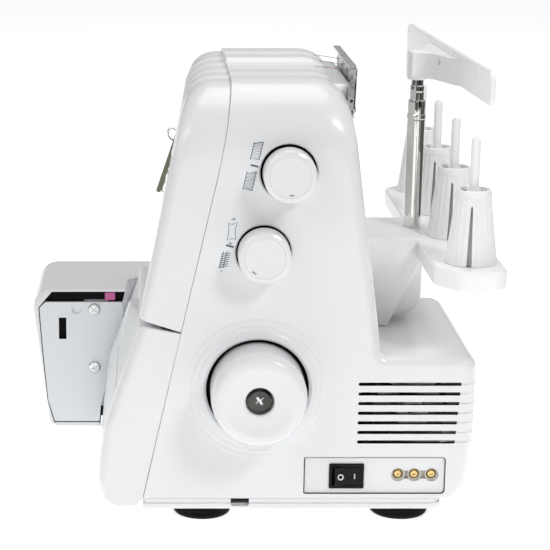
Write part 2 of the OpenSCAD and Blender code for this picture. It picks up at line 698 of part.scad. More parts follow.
// Slotted strip on the front of the head above the needles.
module needle_thread_guide() color("darkkhaki") difference() {
  along_x(-66, -58) translate(front_foot - [0.5, 1]) rotate(-atan(front_slope))
    polygon([[-1, 4], [0, 4], [0, 46], [-1, 46], [-5, 50], [-6, 49.4], [-1, 43]]);
  along_x(-63, -61) translate(front_foot - [0.5, 1]) rotate(-atan(front_slope)) translate([-3, 12])
    square([5, 24]);
}

// ---- thread stand ----

module tray_plan() polygon(rounded([[tray_left, tray_back, 8], [tray_right, tray_back, 8],
  [tray_right, 114, 8], [104, 101, 6], [tray_left + 15, 101, 6], [tray_left, 114, 8]], 4));

module spool_stand() color("white") difference() {
  union() {
    difference() {
      along_z(tray_top - 11, tray_top) tray_plan();
      along_z(tray_top - 12, tray_top - 3) offset(delta = -3) tray_plan();
      // the arm runs up to the tray under its front edge
      box([-22, 99, tray_top - 12], [42, 104.1, tray_top - 3]);
    }
    // arm and leg, with a sloping gusset at each end
    difference() {
      union() {
        along_x(-20, 40) polygon([[65.2, tray_top + 1], [106, tray_top + 1], [106, tray_top - 8],
          [84, motor_top + 0.05], [78.6, motor_top + 0.05], [72.7, 110.6]]);
        along_x(-12, 32) polygon([[70, tray_top], [106, tray_top], [106, 118], [102, 113], [86, 108.5],
          [80, 106.5], [74, 111]]);
      }
      along_x(-9, 29) polygon([[70, tray_top - 3], [102.5, tray_top - 3], [102.5, 119], [100, 116],
        [85, 111.5], [76, 113]]);
    }
    for (x = pin_x) translate([x, pin_y, tray_top - 1]) cylinder(h = pin_h + 1, r = 2.8);
  }
  translate([pole_x, pole_y, tray_top - 4]) cylinder(h = 10, r = 5.45);
  for (x = [-8, 28]) rod_y(60, 75, x, 152, 1.6);
}

// Slotted cone that a thread cone sits on.
module spool_cone() difference() {
  cylinder(h = 44, r1 = 15.8, r2 = 9.5);
  translate([0, 0, -1]) cylinder(h = 50, r = 2.85);
  translate([0, 0, -3]) cylinder(h = 44, r1 = 14.2, r2 = 7.9);
  for (a = [0:60:300]) rotate(a + 12) translate([5, -0.9, -1]) cube([15, 1.8, 36]);
}

module spool_cone_core() difference() {
  cylinder(h = 43, r = 4.6);
  translate([0, 0, -1]) cylinder(h = 50, r = 2.85);
}

module spool_cones() color("white") for (x = pin_x) translate([x, pin_y, tray_top + 0.05]) union() {
  spool_cone();
  spool_cone_core();
  difference() {
    translate([0, 0, 40]) cylinder(h = 2.4, r = 8.6);
    translate([0, 0, 39]) cylinder(h = 5, r = 2.85);
    for (a = [0:90:270]) rotate(a + 45) translate([6.4, 0, 39]) cylinder(h = 5, r = 1.3);
  }
}

module pole_outer_tube() color("silver") translate([pole_x, pole_y, 0]) difference() {
  union() {
    translate([0, 0, tray_top - 4]) cylinder(h = 86, r = 5.45);
    translate([0, 0, 230]) cylinder(h = 2, r = 5.9);
  }
  translate([0, 0, tray_top - 2]) cylinder(h = 90, r = 4.4);
}

module pole_middle_tube() color("silver") translate([pole_x, pole_y, 0]) difference() {
  translate([0, 0, tray_top]) cylinder(h = 91, r = 4.35);
  translate([0, 0, tray_top + 2]) cylinder(h = 95, r = 3.4);
}

module pole_top_tube() color("silver") translate([pole_x, pole_y, 0])
  translate([0, 0, tray_top + 4]) cylinder(h = bar_z + 8 - tray_top - 4, r = 3.35);

// Guide bar: a socket on the pole, an arm back to the bar, and a notched plate along X.
// Frame of the guide bar's plate, turned a little round the pole.
// Frame of the bar's front plate: its middle stands behind the pole and its right end leans back.
module bar_frame() translate([pole_x, bar_y, 0]) rotate(bar_lean) children();

module thread_guide_bar() color("white") difference() {
  union() {
    translate([pole_x, pole_y, bar_z - 2]) cylinder(h = 18, r = 6.5);
    // arm as deep as the sleeve, flaring into the plate
    along_z(bar_z - 0.6, bar_z + 15.4) polygon(rounded([[-2, 95.8, 3], [12, 95.8, 3], [13.5, 107, 14],
      [48, 120.5, 0], [-38, 116.3, 0], [-3.5, 106, 12]], 5));
    bar_frame() along_y(-1.5, 1.5) polygon(rounded([[-117, bar_z, 3], [123, bar_z, 5], [123, 276, 5],
      [-117, 276, 3]], 4));
  }
  bar_frame() for (x = pin_x) rod_y(-16, 6, x - pole_x, 268, 1.8);
  translate([pole_x, pole_y, bar_z - 3]) cylinder(h = 11, r = 3.35 + run_fit);
}

main_housing();
head_left_cover();
head_front_cover();
looper_cover();
cover_hinge_rod();
bed_shell();
bed_end_plate();
bed_end_screws();
bed_bracket();
base_tray();
rubber_feet();
cast_frame();
side_panel();
switch_body();
switch_rocker();
socket_body();
socket_pins();
handwheel();
handwheel_screw();
main_shaft();
shaft_bushes();
shaft_eccentrics();
belt_pulley();
drive_belt();
motor();
motor_shaft();
motor_pulley();
motor_bracket();
stitch_length_dial();
differential_feed_dial();
tension_dial_1();
tension_dial_2();
tension_dial_3();
tension_dial_4();
tension_rod();
tension_discs();
needle_bar();
needle_clamp();
needles();
bar_bushes();
presser_bar();
presser_foot();
presser_spring();
presser_lifter();
upper_looper();
lower_looper();
upper_knife();
lower_knife();
feed_dog();
needle_plate();
thread_guide_plate();
needle_thread_guide();
sewing_lamp();
spool_stand();
spool_cones();
pole_outer_tube();
pole_middle_tube();
pole_top_tube();
thread_guide_bar();
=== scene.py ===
import json
import math

import bmesh
import bpy
import numpy as np
from mathutils import Euler, Matrix, Vector


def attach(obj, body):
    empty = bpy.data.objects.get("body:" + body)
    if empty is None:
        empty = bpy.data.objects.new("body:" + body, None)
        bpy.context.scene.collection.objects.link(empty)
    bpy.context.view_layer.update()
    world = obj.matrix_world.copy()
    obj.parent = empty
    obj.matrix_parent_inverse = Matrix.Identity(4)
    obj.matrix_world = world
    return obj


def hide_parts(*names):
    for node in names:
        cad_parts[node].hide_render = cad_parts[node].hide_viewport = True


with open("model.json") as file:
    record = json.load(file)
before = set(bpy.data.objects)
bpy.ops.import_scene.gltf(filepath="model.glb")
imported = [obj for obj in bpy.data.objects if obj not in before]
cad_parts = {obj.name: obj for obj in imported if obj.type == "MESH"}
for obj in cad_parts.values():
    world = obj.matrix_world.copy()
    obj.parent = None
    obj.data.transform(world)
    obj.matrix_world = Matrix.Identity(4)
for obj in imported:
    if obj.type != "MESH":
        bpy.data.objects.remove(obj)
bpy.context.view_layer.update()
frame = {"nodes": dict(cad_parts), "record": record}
MM = 0.001

# ---------------------------------------------------------------- materials


def principled(name):
    mat = bpy.data.materials.new(name)
    mat.use_nodes = True
    tree = mat.node_tree
    shader = tree.nodes["Principled BSDF"]
    coords = tree.nodes.new("ShaderNodeTexCoord")
    return mat, tree, shader, coords.outputs["Object"]


def noise(tree, coords, scale, detail=3.0, stretch=None):
    if stretch:
        mapping = tree.nodes.new("ShaderNodeMapping")
        mapping.inputs["Scale"].default_value = stretch
        tree.links.new(coords, mapping.inputs["Vector"])
        coords = mapping.outputs["Vector"]
    node = tree.nodes.new("ShaderNodeTexNoise")
    node.inputs["Scale"].default_value = scale
    node.inputs["Detail"].default_value = detail
    node.inputs["Roughness"].default_value = 0.55
    tree.links.new(coords, node.inputs["Vector"])
    return node.outputs["Fac"]


def spread(tree, fac, low, high, lo_in=0.3, hi_in=0.7):
    node = tree.nodes.new("ShaderNodeMapRange")
    node.inputs["From Min"].default_value = lo_in
    node.inputs["From Max"].default_value = hi_in
    node.inputs["To Min"].default_value = low
    node.inputs["To Max"].default_value = high
    tree.links.new(fac, node.inputs["Value"])
    return node.outputs["Result"]


def mix_colour(tree, fac, a, b):
    node = tree.nodes.new("ShaderNodeMix")
    node.data_type = "RGBA"
    node.inputs["A"].default_value = (*a, 1.0)
    node.inputs["B"].default_value = (*b, 1.0)
    tree.links.new(fac, node.inputs["Factor"])
    return node.outputs["Result"]


def bump(tree, shader, height, strength, distance):
    node = tree.nodes.new("ShaderNodeBump")
    node.inputs["Strength"].default_value = strength
    node.inputs["Distance"].default_value = distance
    tree.links.new(height, node.inputs["Height"])
    tree.links.new(node.outputs["Normal"], shader.inputs["Normal"])


def plastic(name, colour, rough, grain=900.0, depth=0.00002, tint=0.02, coat=0.0):
    """Moulded plastic: faint flow mottling in the colour, uneven gloss, and a fine orange-peel grain."""
    mat, tree, shader, co = principled(name)
    dark = tuple(c * (1 - tint) for c in colour)
    shader.inputs["Coat Weight"].default_value = coat
    shader.inputs["Coat Roughness"].default_value = 0.08
    flow = noise(tree, co, 22.0, 4.0)
    colour_out = mix_colour(tree, spread(tree, flow, 0.0, 1.0, 0.1, 0.9), dark, colour)
    tree.links.new(colour_out, shader.inputs["Base Color"])
    gloss = spread(tree, noise(tree, co, 35.0, 2.0), rough * 0.93, rough * 1.07, 0.1, 0.9)
    tree.links.new(gloss, shader.inputs["Roughness"])
    bump(tree, shader, noise(tree, co, grain, 2.0), 0.35, depth)
    return mat


def metal(name, colour, rough, brush=None, scratch=0.25, dark=0.75, grain=2500.0):
    """Metal with brushed or ground streaks, cloudy tarnish and fine scratches."""
    mat, tree, shader, co = principled(name)
    shader.inputs["Metallic"].default_value = 1.0
    streak = noise(tree, co, 300.0, 3.0, brush or (1.0, 1.0, 1.0))
    cloud = noise(tree, co, 90.0, 5.0)
    low = tuple(c * dark for c in colour)
    colour_out = mix_colour(tree, spread(tree, cloud, 0.0, 1.0, 0.25, 0.62), low, colour)
    tree.links.new(colour_out, shader.inputs["Base Color"])
    tree.links.new(spread(tree, streak, rough * 0.7, rough * 1.35), shader.inputs["Roughness"])
    bump(tree, shader, noise(tree, co, grain, 2.0, brush), scratch, 0.00003)
    return mat


M = {
    "white_shell": plastic("shell_plastic", (0.79, 0.797, 0.81), 0.26, 700.0, 0.000008, 0.008, 0.2),
    # lighter than the shell's plastic: painted light that makes up for the shade on the stand, cones and bar
    "stand_white": plastic("stand_plastic_with_painted_light", (0.925, 0.927, 0.93), 0.30, 900.0, 0.00001, 0.008, 0.15),
    "white_knob": plastic("knob_plastic", (0.80, 0.80, 0.80), 0.34, 1400.0, 0.00002, 0.015),
    "painted_plate": plastic("plate_enamel", (0.80, 0.832, 0.85), 0.30, 1800.0, 0.00003, 0.02),
    "black_plastic": plastic("switch_plastic", (0.012, 0.012, 0.013), 0.38, 3000.0, 0.00004, 0.3),
    "gap": plastic("shaded_gap", (0.006, 0.006, 0.007), 0.7, 800.0, 0.00002, 0.4),
    "black_rubber": plastic("foot_rubber", (0.014, 0.014, 0.014), 0.55, 1500.0, 0.00005, 0.35),
    "steel": metal("ground_steel", (0.50, 0.51, 0.53), 0.32, (1.0, 8.0, 8.0)),
    "bright_steel": metal("nickel_plate", (0.70, 0.71, 0.72), 0.20, (6.0, 1.0, 1.0)),
    # dark steel, also given to the walls of cut holes and slots as painted shade
    "dark_metal": metal("dark_steel_and_painted_hole_shade", (0.10, 0.10, 0.11), 0.42),
    "guide_metal": metal("guide_strip", (0.24, 0.235, 0.17), 0.30, (1.0, 1.0, 9.0)),
    "cast_metal": metal("cast_alloy", (0.42, 0.43, 0.44), 0.55, None, 0.6, 0.8, 900.0),
    "aluminium": metal("turned_alloy", (0.66, 0.67, 0.68), 0.30, (9.0, 1.0, 1.0)),
    "bronze": metal("sintered_bronze", (0.50, 0.32, 0.15), 0.45),
    "brass_pins": metal("brass", (0.80, 0.60, 0.28), 0.22, None, 0.15, 0.7),
    "chrome": metal("mirror_chrome", (0.78, 0.77, 0.74), 0.05, (1.0, 1.0, 0.2), 0.02, 0.9),
    # polished chrome with a dark colour: painted dark reflection
    "polished_dark": metal("chrome_with_painted_dark_reflection", (0.085, 0.085, 0.08), 0.2, None, 0.1, 0.5),
    "grey_ink": plastic("grey_print", (0.28, 0.28, 0.28), 0.5, 1600.0, 0.00001, 0.2),
    "lamp_lens": plastic("lens_plastic", (0.86, 0.86, 0.80), 0.45, 1200.0, 0.00004, 0.03),
    "ink": plastic("printed_ink", (0.09, 0.13, 0.16), 0.5, 1600.0, 0.00001, 0.25),
    "white_ink": plastic("switch_ink", (0.75, 0.75, 0.75), 0.5, 1600.0, 0.00001, 0.05),
    "pink": plastic("pink_marker", (0.62, 0.13, 0.36), 0.35, 1200.0, 0.00002, 0.15),
    "ivory": plastic("socket_ivory", (0.62, 0.60, 0.54), 0.45, 1500.0, 0.00003, 0.08),
    "thread_blue": plastic("blue_thread", (0.10, 0.16, 0.42), 0.7, 6000.0, 0.00008, 0.4),
    "thread_pink": plastic("pink_thread", (0.60, 0.14, 0.22), 0.7, 6000.0, 0.00008, 0.4),
    "thread_dark": plastic("dark_thread", (0.05, 0.05, 0.06), 0.7, 6000.0, 0.00008, 0.4),
}
for dark in ("black_plastic", "gap", "black_rubber"):
    dark_shader = M[dark].node_tree.nodes["Principled BSDF"]
    dark_shader.inputs["Specular IOR Level"].default_value = 0.12

# ---------------------------------------------------------------- shape tools (millimetres in, metres out)


def rounded(corners, steps=5):
    """Outline with rounded corners; each corner is (u, v, radius), and radius 0 keeps a single point."""
    out = []
    n = len(corners)
    for i in range(n):
        b = corners[i]
        p = Vector(b[:2])
        if b[2] == 0:
            out.append((p.x, p.y))
            continue
        u = (Vector(corners[i - 1][:2]) - p).normalized()
        v = (Vector(corners[(i + 1) % n][:2]) - p).normalized()
        half = math.acos(max(-1.0, min(1.0, u.dot(v)))) / 2
        mid_dir = (u + v).normalized()
        mid = p + mid_dir * (b[2] / math.sin(half))
        a0 = p + u * (b[2] / math.tan(half)) - mid
        a1 = p + v * (b[2] / math.tan(half)) - mid
        start = math.atan2(a0.y, a0.x)
        turn = (math.atan2(a1.y, a1.x) - start + 3 * math.pi) % (2 * math.pi) - math.pi
        for k in range(steps + 1):
            a = start + turn * k / steps
            out.append((mid.x + b[2] * math.cos(a), mid.y + b[2] * math.sin(a)))
    return out


def inset(corners, d):
    """Corners moved inward by d, one value or one for each edge that starts at that corner."""
    n = len(corners)
    d = list(d) if hasattr(d, "__len__") else [d] * n
    pts = [Vector(c[:2]) for c in corners]
    area = sum(pts[i].x * pts[(i + 1) % n].y - pts[(i + 1) % n].x * pts[i].y for i in range(n))
    side = 1 if area > 0 else -1
    lines = []
    for i in range(n):
        e = (pts[(i + 1) % n] - pts[i]).normalized()
        lines.append((pts[i] + Vector((-e.y, e.x)) * side * d[i], e))
    out = []
    for i in range(n):
        (p0, e0), (p1, e1) = lines[i - 1], lines[i]
        cross = e0.x * e1.y - e0.y * e1.x
        if abs(cross) < 0.06:
            p = (p0 + e0 * (pts[i] - pts[i - 1]).length + p1) / 2
        else:
            w = p1 - p0
            p = p0 + e0 * ((w.x * e1.y - w.y * e1.x) / cross)
        r = corners[i][2]
        if r > 0:
            change = min(d[i - 1], d[i]) if cross * side > 0 else -max(d[i - 1], d[i])
            r = max(0.08, r - change)
        out.append((p.x, p.y, r))
    return out


def drop(radius, t):
    """How far a rounded edge of that radius has fallen away, t millimetres in from the end."""
    return radius - math.sqrt(max(0.0, radius**2 - (radius - t) ** 2)) if t < radius else 0.0


END_T = (0, 0.12, 0.35, 0.7, 1.2, 1.9, 2.8, 4.0, 5.5, 7.5, 10, 13, 16.5, 20.5, 25, 30, 36)


def stations(x0, x1, left, right, extra=()):
    """X stations with fine steps inside the rounded ends."""
    xs = {x0, x1}
    xs |= {x0 + t for t in END_T if t <= left}
    xs |= {x1 - t for t in END_T if t <= right}
    xs |= {x for x in extra if x0 < x < x1}
    out = sorted(xs)
    return [x for i, x in enumerate(out) if i == 0 or x - out[i - 1] > 0.04]


def to_object(name, verts, faces, mat):
    mesh = bpy.data.meshes.new(name)
    mesh.from_pydata([tuple(c * MM for c in v) for v in verts], [], faces)
    mesh.materials.append(mat)
    obj = bpy.data.objects.new(name, mesh)
    bpy.context.scene.collection.objects.link(obj)
    bm = bmesh.new()
    bm.from_mesh(mesh)
    bmesh.ops.remove_doubles(bm, verts=bm.verts, dist=0.015 * MM)
    bmesh.ops.dissolve_degenerate(bm, edges=bm.edges, dist=0.005 * MM)
    bmesh.ops.recalc_face_normals(bm, faces=bm.faces)
    bm.to_mesh(mesh)
    bm.free()
    return obj


def skin(name, rings, mat, closed_path=False):
    """Joins rings of equal point count; the ends are closed unless the path closes on itself."""
    n = len(rings[0])
    verts = [p for ring in rings for p in ring]
    faces = []
    count = len(rings)
    for r in range(count if closed_path else count - 1):
        a, b = r * n, ((r + 1) % count) * n
        for i in range(n):
            j = (i + 1) % n
            faces.append((a + i, a + j, b + j, b + i))
    if not closed_path:
        faces.append(tuple(range(n)))
        faces.append(tuple(range((count - 1) * n, count * n)))
    return to_object(name, verts, faces, mat)


def loft_x(name, xs, corners_at, mat, steps=5):
    return skin(name, [[(x, y, z) for y, z in rounded(corners_at(x), steps)] for x in xs], mat)


def slab(name, corners, axis, lo, hi, mat, edge=0.0, steps=5, edge_steps=3):
    """Outline extruded along X (u=Y, v=Z), Y (u=X, v=Z) or Z (u=X, v=Y), with both rims rounded by edge."""
    place = {
        "x": lambda t, u, v: (t, u, v),
        "y": lambda t, u, v: (u, t, v),
        "z": lambda t, u, v: (u, v, t),
    }[axis]
    levels = [(lo, 0.0), (hi, 0.0)]
    if edge > 0:
        arc = [(edge * (1 - math.cos(a)), edge * (1 - math.sin(a)))
               for a in (math.pi / 2 * k / edge_steps for k in range(edge_steps + 1))]
        levels = [(lo + t, d) for t, d in arc] + [(hi - t, d) for t, d in reversed(arc)]
    rings = []
    for t, d in levels:
        outline = rounded(inset(corners, d) if d else corners, steps)
        rings.append([place(t, u, v) for u, v in outline])
    return skin(name, rings, mat)


def turned(name, profile, mat, segments=96, axis="x", centre=(0, 0, 0)):
    """Profile of (distance along the axis, radius) turned about an axis; radius 0 closes an end."""
    turns = [2 * math.pi * k / segments for k in range(segments)]
    place = {
        "x": lambda s, c, t: (centre[0] + t, centre[1] + c, centre[2] + s),
        "y": lambda s, c, t: (centre[0] + c, centre[1] + t, centre[2] + s),
        "z": lambda s, c, t: (centre[0] + c, centre[1] + s, centre[2] + t),
    }[axis]
    rings = [[place(r * math.sin(a), r * math.cos(a), t) for a in turns] for t, r in profile]
    hollow = profile[0][1] > 0 and profile[-1][1] > 0
    return skin(name, rings, mat, closed_path=hollow or profile[0] == profile[-1])


def arc_profile(points, steps=5):
    """Profile points (t, r, fillet radius) with the fillets drawn in."""
    out = []
    for i, p in enumerate(points):
        if len(p) < 3 or p[2] == 0:
            out.append((p[0], p[1]))
            continue
        a, b, c = Vector(points[i - 1][:2]), Vector(p[:2]), Vector(points[i + 1][:2])
        u, v = (a - b).normalized(), (c - b).normalized()
        half = math.acos(max(-1, min(1, u.dot(v)))) / 2
        mid = b + (u + v).normalized() * (p[2] / math.sin(half))
        reach = p[2] / math.tan(half)
        f, g = b + u * reach - mid, b + v * reach - mid
        s0 = math.atan2(f.y, f.x)
        turn = (math.atan2(g.y, g.x) - s0 + 3 * math.pi) % (2 * math.pi) - math.pi
        angles = [s0 + turn * k / steps for k in range(steps + 1)]
        out += [(mid.x + p[2] * math.cos(a), mid.y + p[2] * math.sin(a)) for a in angles]
    return out


def moved(obj, shift, turn=(0, 0, 0), pivot=(0, 0, 0)):
    """Turns a mesh about the pivot and then shifts it, in its own points."""
    there = Matrix.Translation([(s + p) * MM for s, p in zip(shift, pivot)])
    back = Matrix.Translation([-p * MM for p in pivot])
    obj.data.transform(there @ Euler(turn).to_matrix().to_4x4() @ back)
    return obj


def combine(obj, others, operation="DIFFERENCE"):
    """Boolean of obj with each of the others, which are used up. Cut faces take the cutter's material."""
    for other in others:
        m = obj.modifiers.new("b", "BOOLEAN")
        m.operation = operation
        m.object = other
        m.solver = "MANIFOLD"
        m.material_mode = "TRANSFER"
        dg = bpy.context.evaluated_depsgraph_get()
        dg.update()
        mesh = bpy.data.meshes.new_from_object(obj.evaluated_get(dg), preserve_all_data_layers=True,
                depsgraph=dg)
        obj.modifiers.clear()
        old = obj.data
        obj.data = mesh
        bpy.data.meshes.remove(old)
        bpy.data.objects.remove(other)
    bm = bmesh.new()
    bm.from_mesh(obj.data)
    bmesh.ops.remove_doubles(bm, verts=bm.verts, dist=0.01 * MM)
    bmesh.ops.dissolve_degenerate(bm, edges=bm.edges, dist=0.005 * MM)
    bm.to_mesh(obj.data)
    bm.free()
    return obj


def joined(name, objs):
    """Joins separate closed solids of one piece into one mesh."""
    first = objs[0]
    bm = bmesh.new()
    mats = []
    for o in objs:
        for m in o.data.materials:
            if m not in mats:
                mats.append(m)
    for o in objs:
        start = len(bm.faces)
        bm.from_mesh(o.data)
        bm.faces.ensure_lookup_table()
        index = [mats.index(m) for m in o.data.materials]
        for f in bm.faces[start:]:
            f.material_index = index[f.material_index]
    mesh = bpy.data.meshes.new(name)
    bm.to_mesh(mesh)
    bm.free()
    for m in mats:
        mesh.materials.append(m)
    for o in objs[1:]:
        bpy.data.objects.remove(o)
    first.data = mesh
    first.name = name
    return first


def finish(obj, body, nodes=(), angle=32.0):
    """Smooth shading with crisp edges, then the piece rides its body and stands in for its nodes."""
    if obj.type == "MESH":
        obj.data.shade_smooth()
        obj.data.set_sharp_from_angle(angle=math.radians(angle))
        m = obj.modifiers.new("weighted", "WEIGHTED_NORMAL")
        m.keep_sharp = True
        m.weight = 80
    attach(obj, body)
    if nodes:
        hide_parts(*nodes)
    return obj


def tube(name, points, radius, mat, body):
    """A wire or thread: a smooth curve with a round section, turned into a mesh."""
    curve = bpy.data.curves.new(name, "CURVE")
    curve.dimensions = "3D"
    curve.bevel_depth = radius * MM
    curve.bevel_resolution = 4
    curve.resolution_u = 8
    curve.use_fill_caps = True
    spline = curve.splines.new("NURBS")
    spline.points.add(len(points) - 1)
    for sp, p in zip(spline.points, points):
        sp.co = (p[0] * MM, p[1] * MM, p[2] * MM, 1.0)
    spline.order_u = min(4, len(points))
    spline.use_endpoint_u = True
    obj = bpy.data.objects.new(name, curve)
    bpy.context.scene.collection.objects.link(obj)
    dg = bpy.context.evaluated_depsgraph_get()
    mesh = bpy.data.meshes.new_from_object(obj.evaluated_get(dg))
    mesh.name = name
    bpy.data.objects.remove(obj)
    out = bpy.data.objects.new(name, mesh)
    bpy.context.scene.collection.objects.link(out)
    mesh.materials.clear()
    mesh.materials.append(mat)
    mesh.shade_smooth()
    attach(out, body)
    return out


# ---------------------------------------------------------------- outlines shared by the shells

RIGHT, LEFT, PILLAR = 108, -87, -30
SEAM = ((-68, 17), (-45.3, 122), (-23.9, 218), (-19.6, 242), (-16.5, 265))
WALL = 2.6
CHANNELS = (51.3, 24.3, -2.7, -29.7)


def seam_y(z):
    return float(np.interp(z, [p[1] for p in SEAM], [p[0] for p in SEAM]))


def rear_y(z):
    return 72.8 - 22.4 * (z - 105) / 160


def relief(x):
    """Height of the thread channels and their lips over the smooth surface."""
    for c in CHANNELS:
        s = x - c
        if -3.4 < s < 8.5:
            return float(np.interp(s, (-3.4, -2.6, 2.2, 2.8, 5, 8.5), (0, -2.4, -2.4, 1.1, 0.9, 0)))
    return 0


RELIEF_STEPS = (-3.4, -3, -2.6, -2.2, 0, 2, 2.2, 2.5, 2.8, 3.2, 4, 5, 6.5, 8.5)
RELIEF_X = [c + s for c in CHANNELS for s in RELIEF_STEPS]
FILL_X = [-80 + 9 * k for k in range(21)]


def housing_corners(x, inner=0):
    """Side outline of the housing at a station; inner shrinks it to the inside of the walls."""
    t, tl = RIGHT - inner - x, x - PILLAR - inner
    top = 265 - inner - drop(36 - inner, t)
    if not inner:
        top += relief(x) + float(np.interp(x, (3, 7), (1.8, 0)))
    seam_pts = [(seam_y(z), z, 0) for z in np.linspace(top, 17, 13)]
    corners = seam_pts + [(124, 17, 12), (129, 58, 14), (129, 105, 7), (72.8, 105, 5),
                          (rear_y(top), top, 22 if top > 250 else max(14, 22 - (250 - top) * 0.4))]
    edges = [0.3] * 12 + [1.5, 8, 9, 5, 9, 0.3]
    left = [0.3] * 12 + [1.5, 8, 8, 3, 0.3, 0.3]
    if inner:
        d = [-7] * 12 + [-9, 2.6, 2.6, 2.6, 2.6, 0]
        d = [a + (drop(max(0.5, e - inner), t) if e > 2 else 0) for a, e in zip(d, edges)]
    else:
        d = [drop(e, t) + drop(f, tl) for e, f in zip(edges, left)]
        d[-1] = 0
    return inset(corners, d)


def front_corners(x, inner=0):
    """Outline of the front cover of the head."""
    t, tl = RIGHT - inner - x, x - LEFT - inner
    fall = drop(36 - inner, t) + drop(24 - inner, tl)
    top = 263 - inner - fall
    rise = 0 if inner else relief(x)
    back = max(0, (100 - x) / 130)
    lower = (-70.5 + 8.5 * min(back, 1), 128.8, 2)
    foot = -62.8 + 8.3 * back
    elbow = (foot, 166, 60)
    front_top = (foot + (0.204 - 0.029 * back) * (top - 166), top, 18 - (0 if inner else drop(9, tl)))
    seam_pts = [(seam_y(z) - 0.2, z, 0) for z in np.linspace(top, 120.8, 11)]
    corners = seam_pts + [lower, elbow, front_top]
    d = [drop(0.3, t)] * 10 + [drop(0.8, t), drop(6, t) + drop(8, tl), drop(7, t) + drop(8, tl) - rise, -rise]
    if inner:
        d = [-6] * 10 + [WALL, WALL + drop(4, t), WALL + drop(4, t), 0]
    return inset(corners, d)


def left_corners(x, inner=0):
    """Outline of the left end cover of the head."""
    tl = x - LEFT - inner
    top = 265 - inner - drop(24 - inner, tl) + (0 if inner else relief(x) + 1.8 * float(x > -48))
    seam_pts = [(seam_y(z), z, 0) for z in np.linspace(top, 160, 9)]
    corners = seam_pts + [(rear_y(160), 160, 7), (rear_y(top), top, 20)]
    d = [drop(0.3, tl)] * 8 + [drop(8, tl), drop(14, tl), 0]
    if inner:
        d = [-6] * 8 + [WALL, WALL + drop(11, tl), 0]
    return inset(corners, d)


def looper_corners(x, inner=0):
    """Outline of the looper cover."""
    t, tl = 107.6 - inner - x, x + 35.5 - inner
    rear = [(-45.8, 119.9, 0)] if x > 104.5 else [(-56.9, 121.4, 0)]
    foot = [(-73, 12, 0), (-68.3, 17, 0)] if x > 104.5 else [(-78, 12, 0), (-80.6, 17, 0)]
    corners = rear + [(-69.8, 124.4, 2.5), (-91, 63, 40), (-95.4, 28, 40), (-90.6, 12, 7)] + foot
    rim = drop(6, t) + drop(4, tl)
    d = [drop(0.8, t), rim, rim, rim, drop(1.5, t), drop(0.3, t), drop(0.3, t)]
    if inner:
        d = [WALL, WALL, WALL, WALL, WALL, -4, -6]
    return inset(corners, d)


def bed_corners(x, inner=0):
    """Side outline of the bed."""
    t, tl = -41.8 - x, x + 132 - inner
    corners = [(62, 106, 4), (-143.6, 106, 12), (-131.5, 10, 5), (-97.7, 10, 0), (-97.2, 17, 0),
               (62, 17, 2)]
    d = [drop(2, t) + drop(12 - inner, tl), drop(2, t) + drop(14 - inner, tl),
         drop(1, t) + drop(6 - inner, tl), drop(0.3, t), drop(0.3, t), drop(1, t) + drop(10 - inner, tl)]
    if inner:
        d = [a + inner for a in d]
    return inset(corners, d)


PLATE = [(-138, 93.6), (-135.8, 61.3), (-132.9, 28.5), (-128.6, 13.4), (-98.2, 13.4), (-97.1, 25),
         (-89.1, 55.3), (-82.9, 79), (-80.6, 97.8), (-134, 97.8)]
WHITE, STAND, GAP = M["white_shell"], M["stand_white"], M["gap"]
WHEEL, LENGTH_DIAL, FEED_DIAL = (-0.5, 86), (15.4, 216), (1.7, 169)
WHEEL_HOLE, LENGTH_HOLE, FEED_HOLE = 30.35, 16.4, 16
FOOT_SPOTS = ((81, -32), (81, 88.7), (-104, -32), (-104, 40))
HINGE = (0, -74, 18)
PLATE_SCREW_Y, PLATE_SCREW_Z = -101.2, (52.5, 93)
SOCKET_Y, SOCKET_Z = (84.3, 94, 104.3), 32.2
ROCKER_AXIS = (103, 53.4, 31.5)


def rect(u0, v0, u1, v1, r=0):
    """Corners of a rectangle; r is one radius, or four that start at the corner (u0, v0)."""
    radii = r if hasattr(r, "__len__") else (r,) * 4
    return list(zip((u0, u1, u1, u0), (v0, v0, v1, v1), radii))


def cutter(corners, axis, lo, hi, mat=WHITE, **shape):
    return slab("cut", corners, axis, lo, hi, mat, **shape)


def rod_cutter(axis, lo, hi, centre, r, mat=WHITE, segments=48):
    return turned("cut", [(lo, 0), (lo, r), (hi, r), (hi, 0)], mat, segments, axis, centre)


def block(lo, hi, mat=WHITE, r=0):
    return cutter(rect(lo[0], lo[1], hi[0], hi[1], r), "z", lo[2], hi[2], mat)


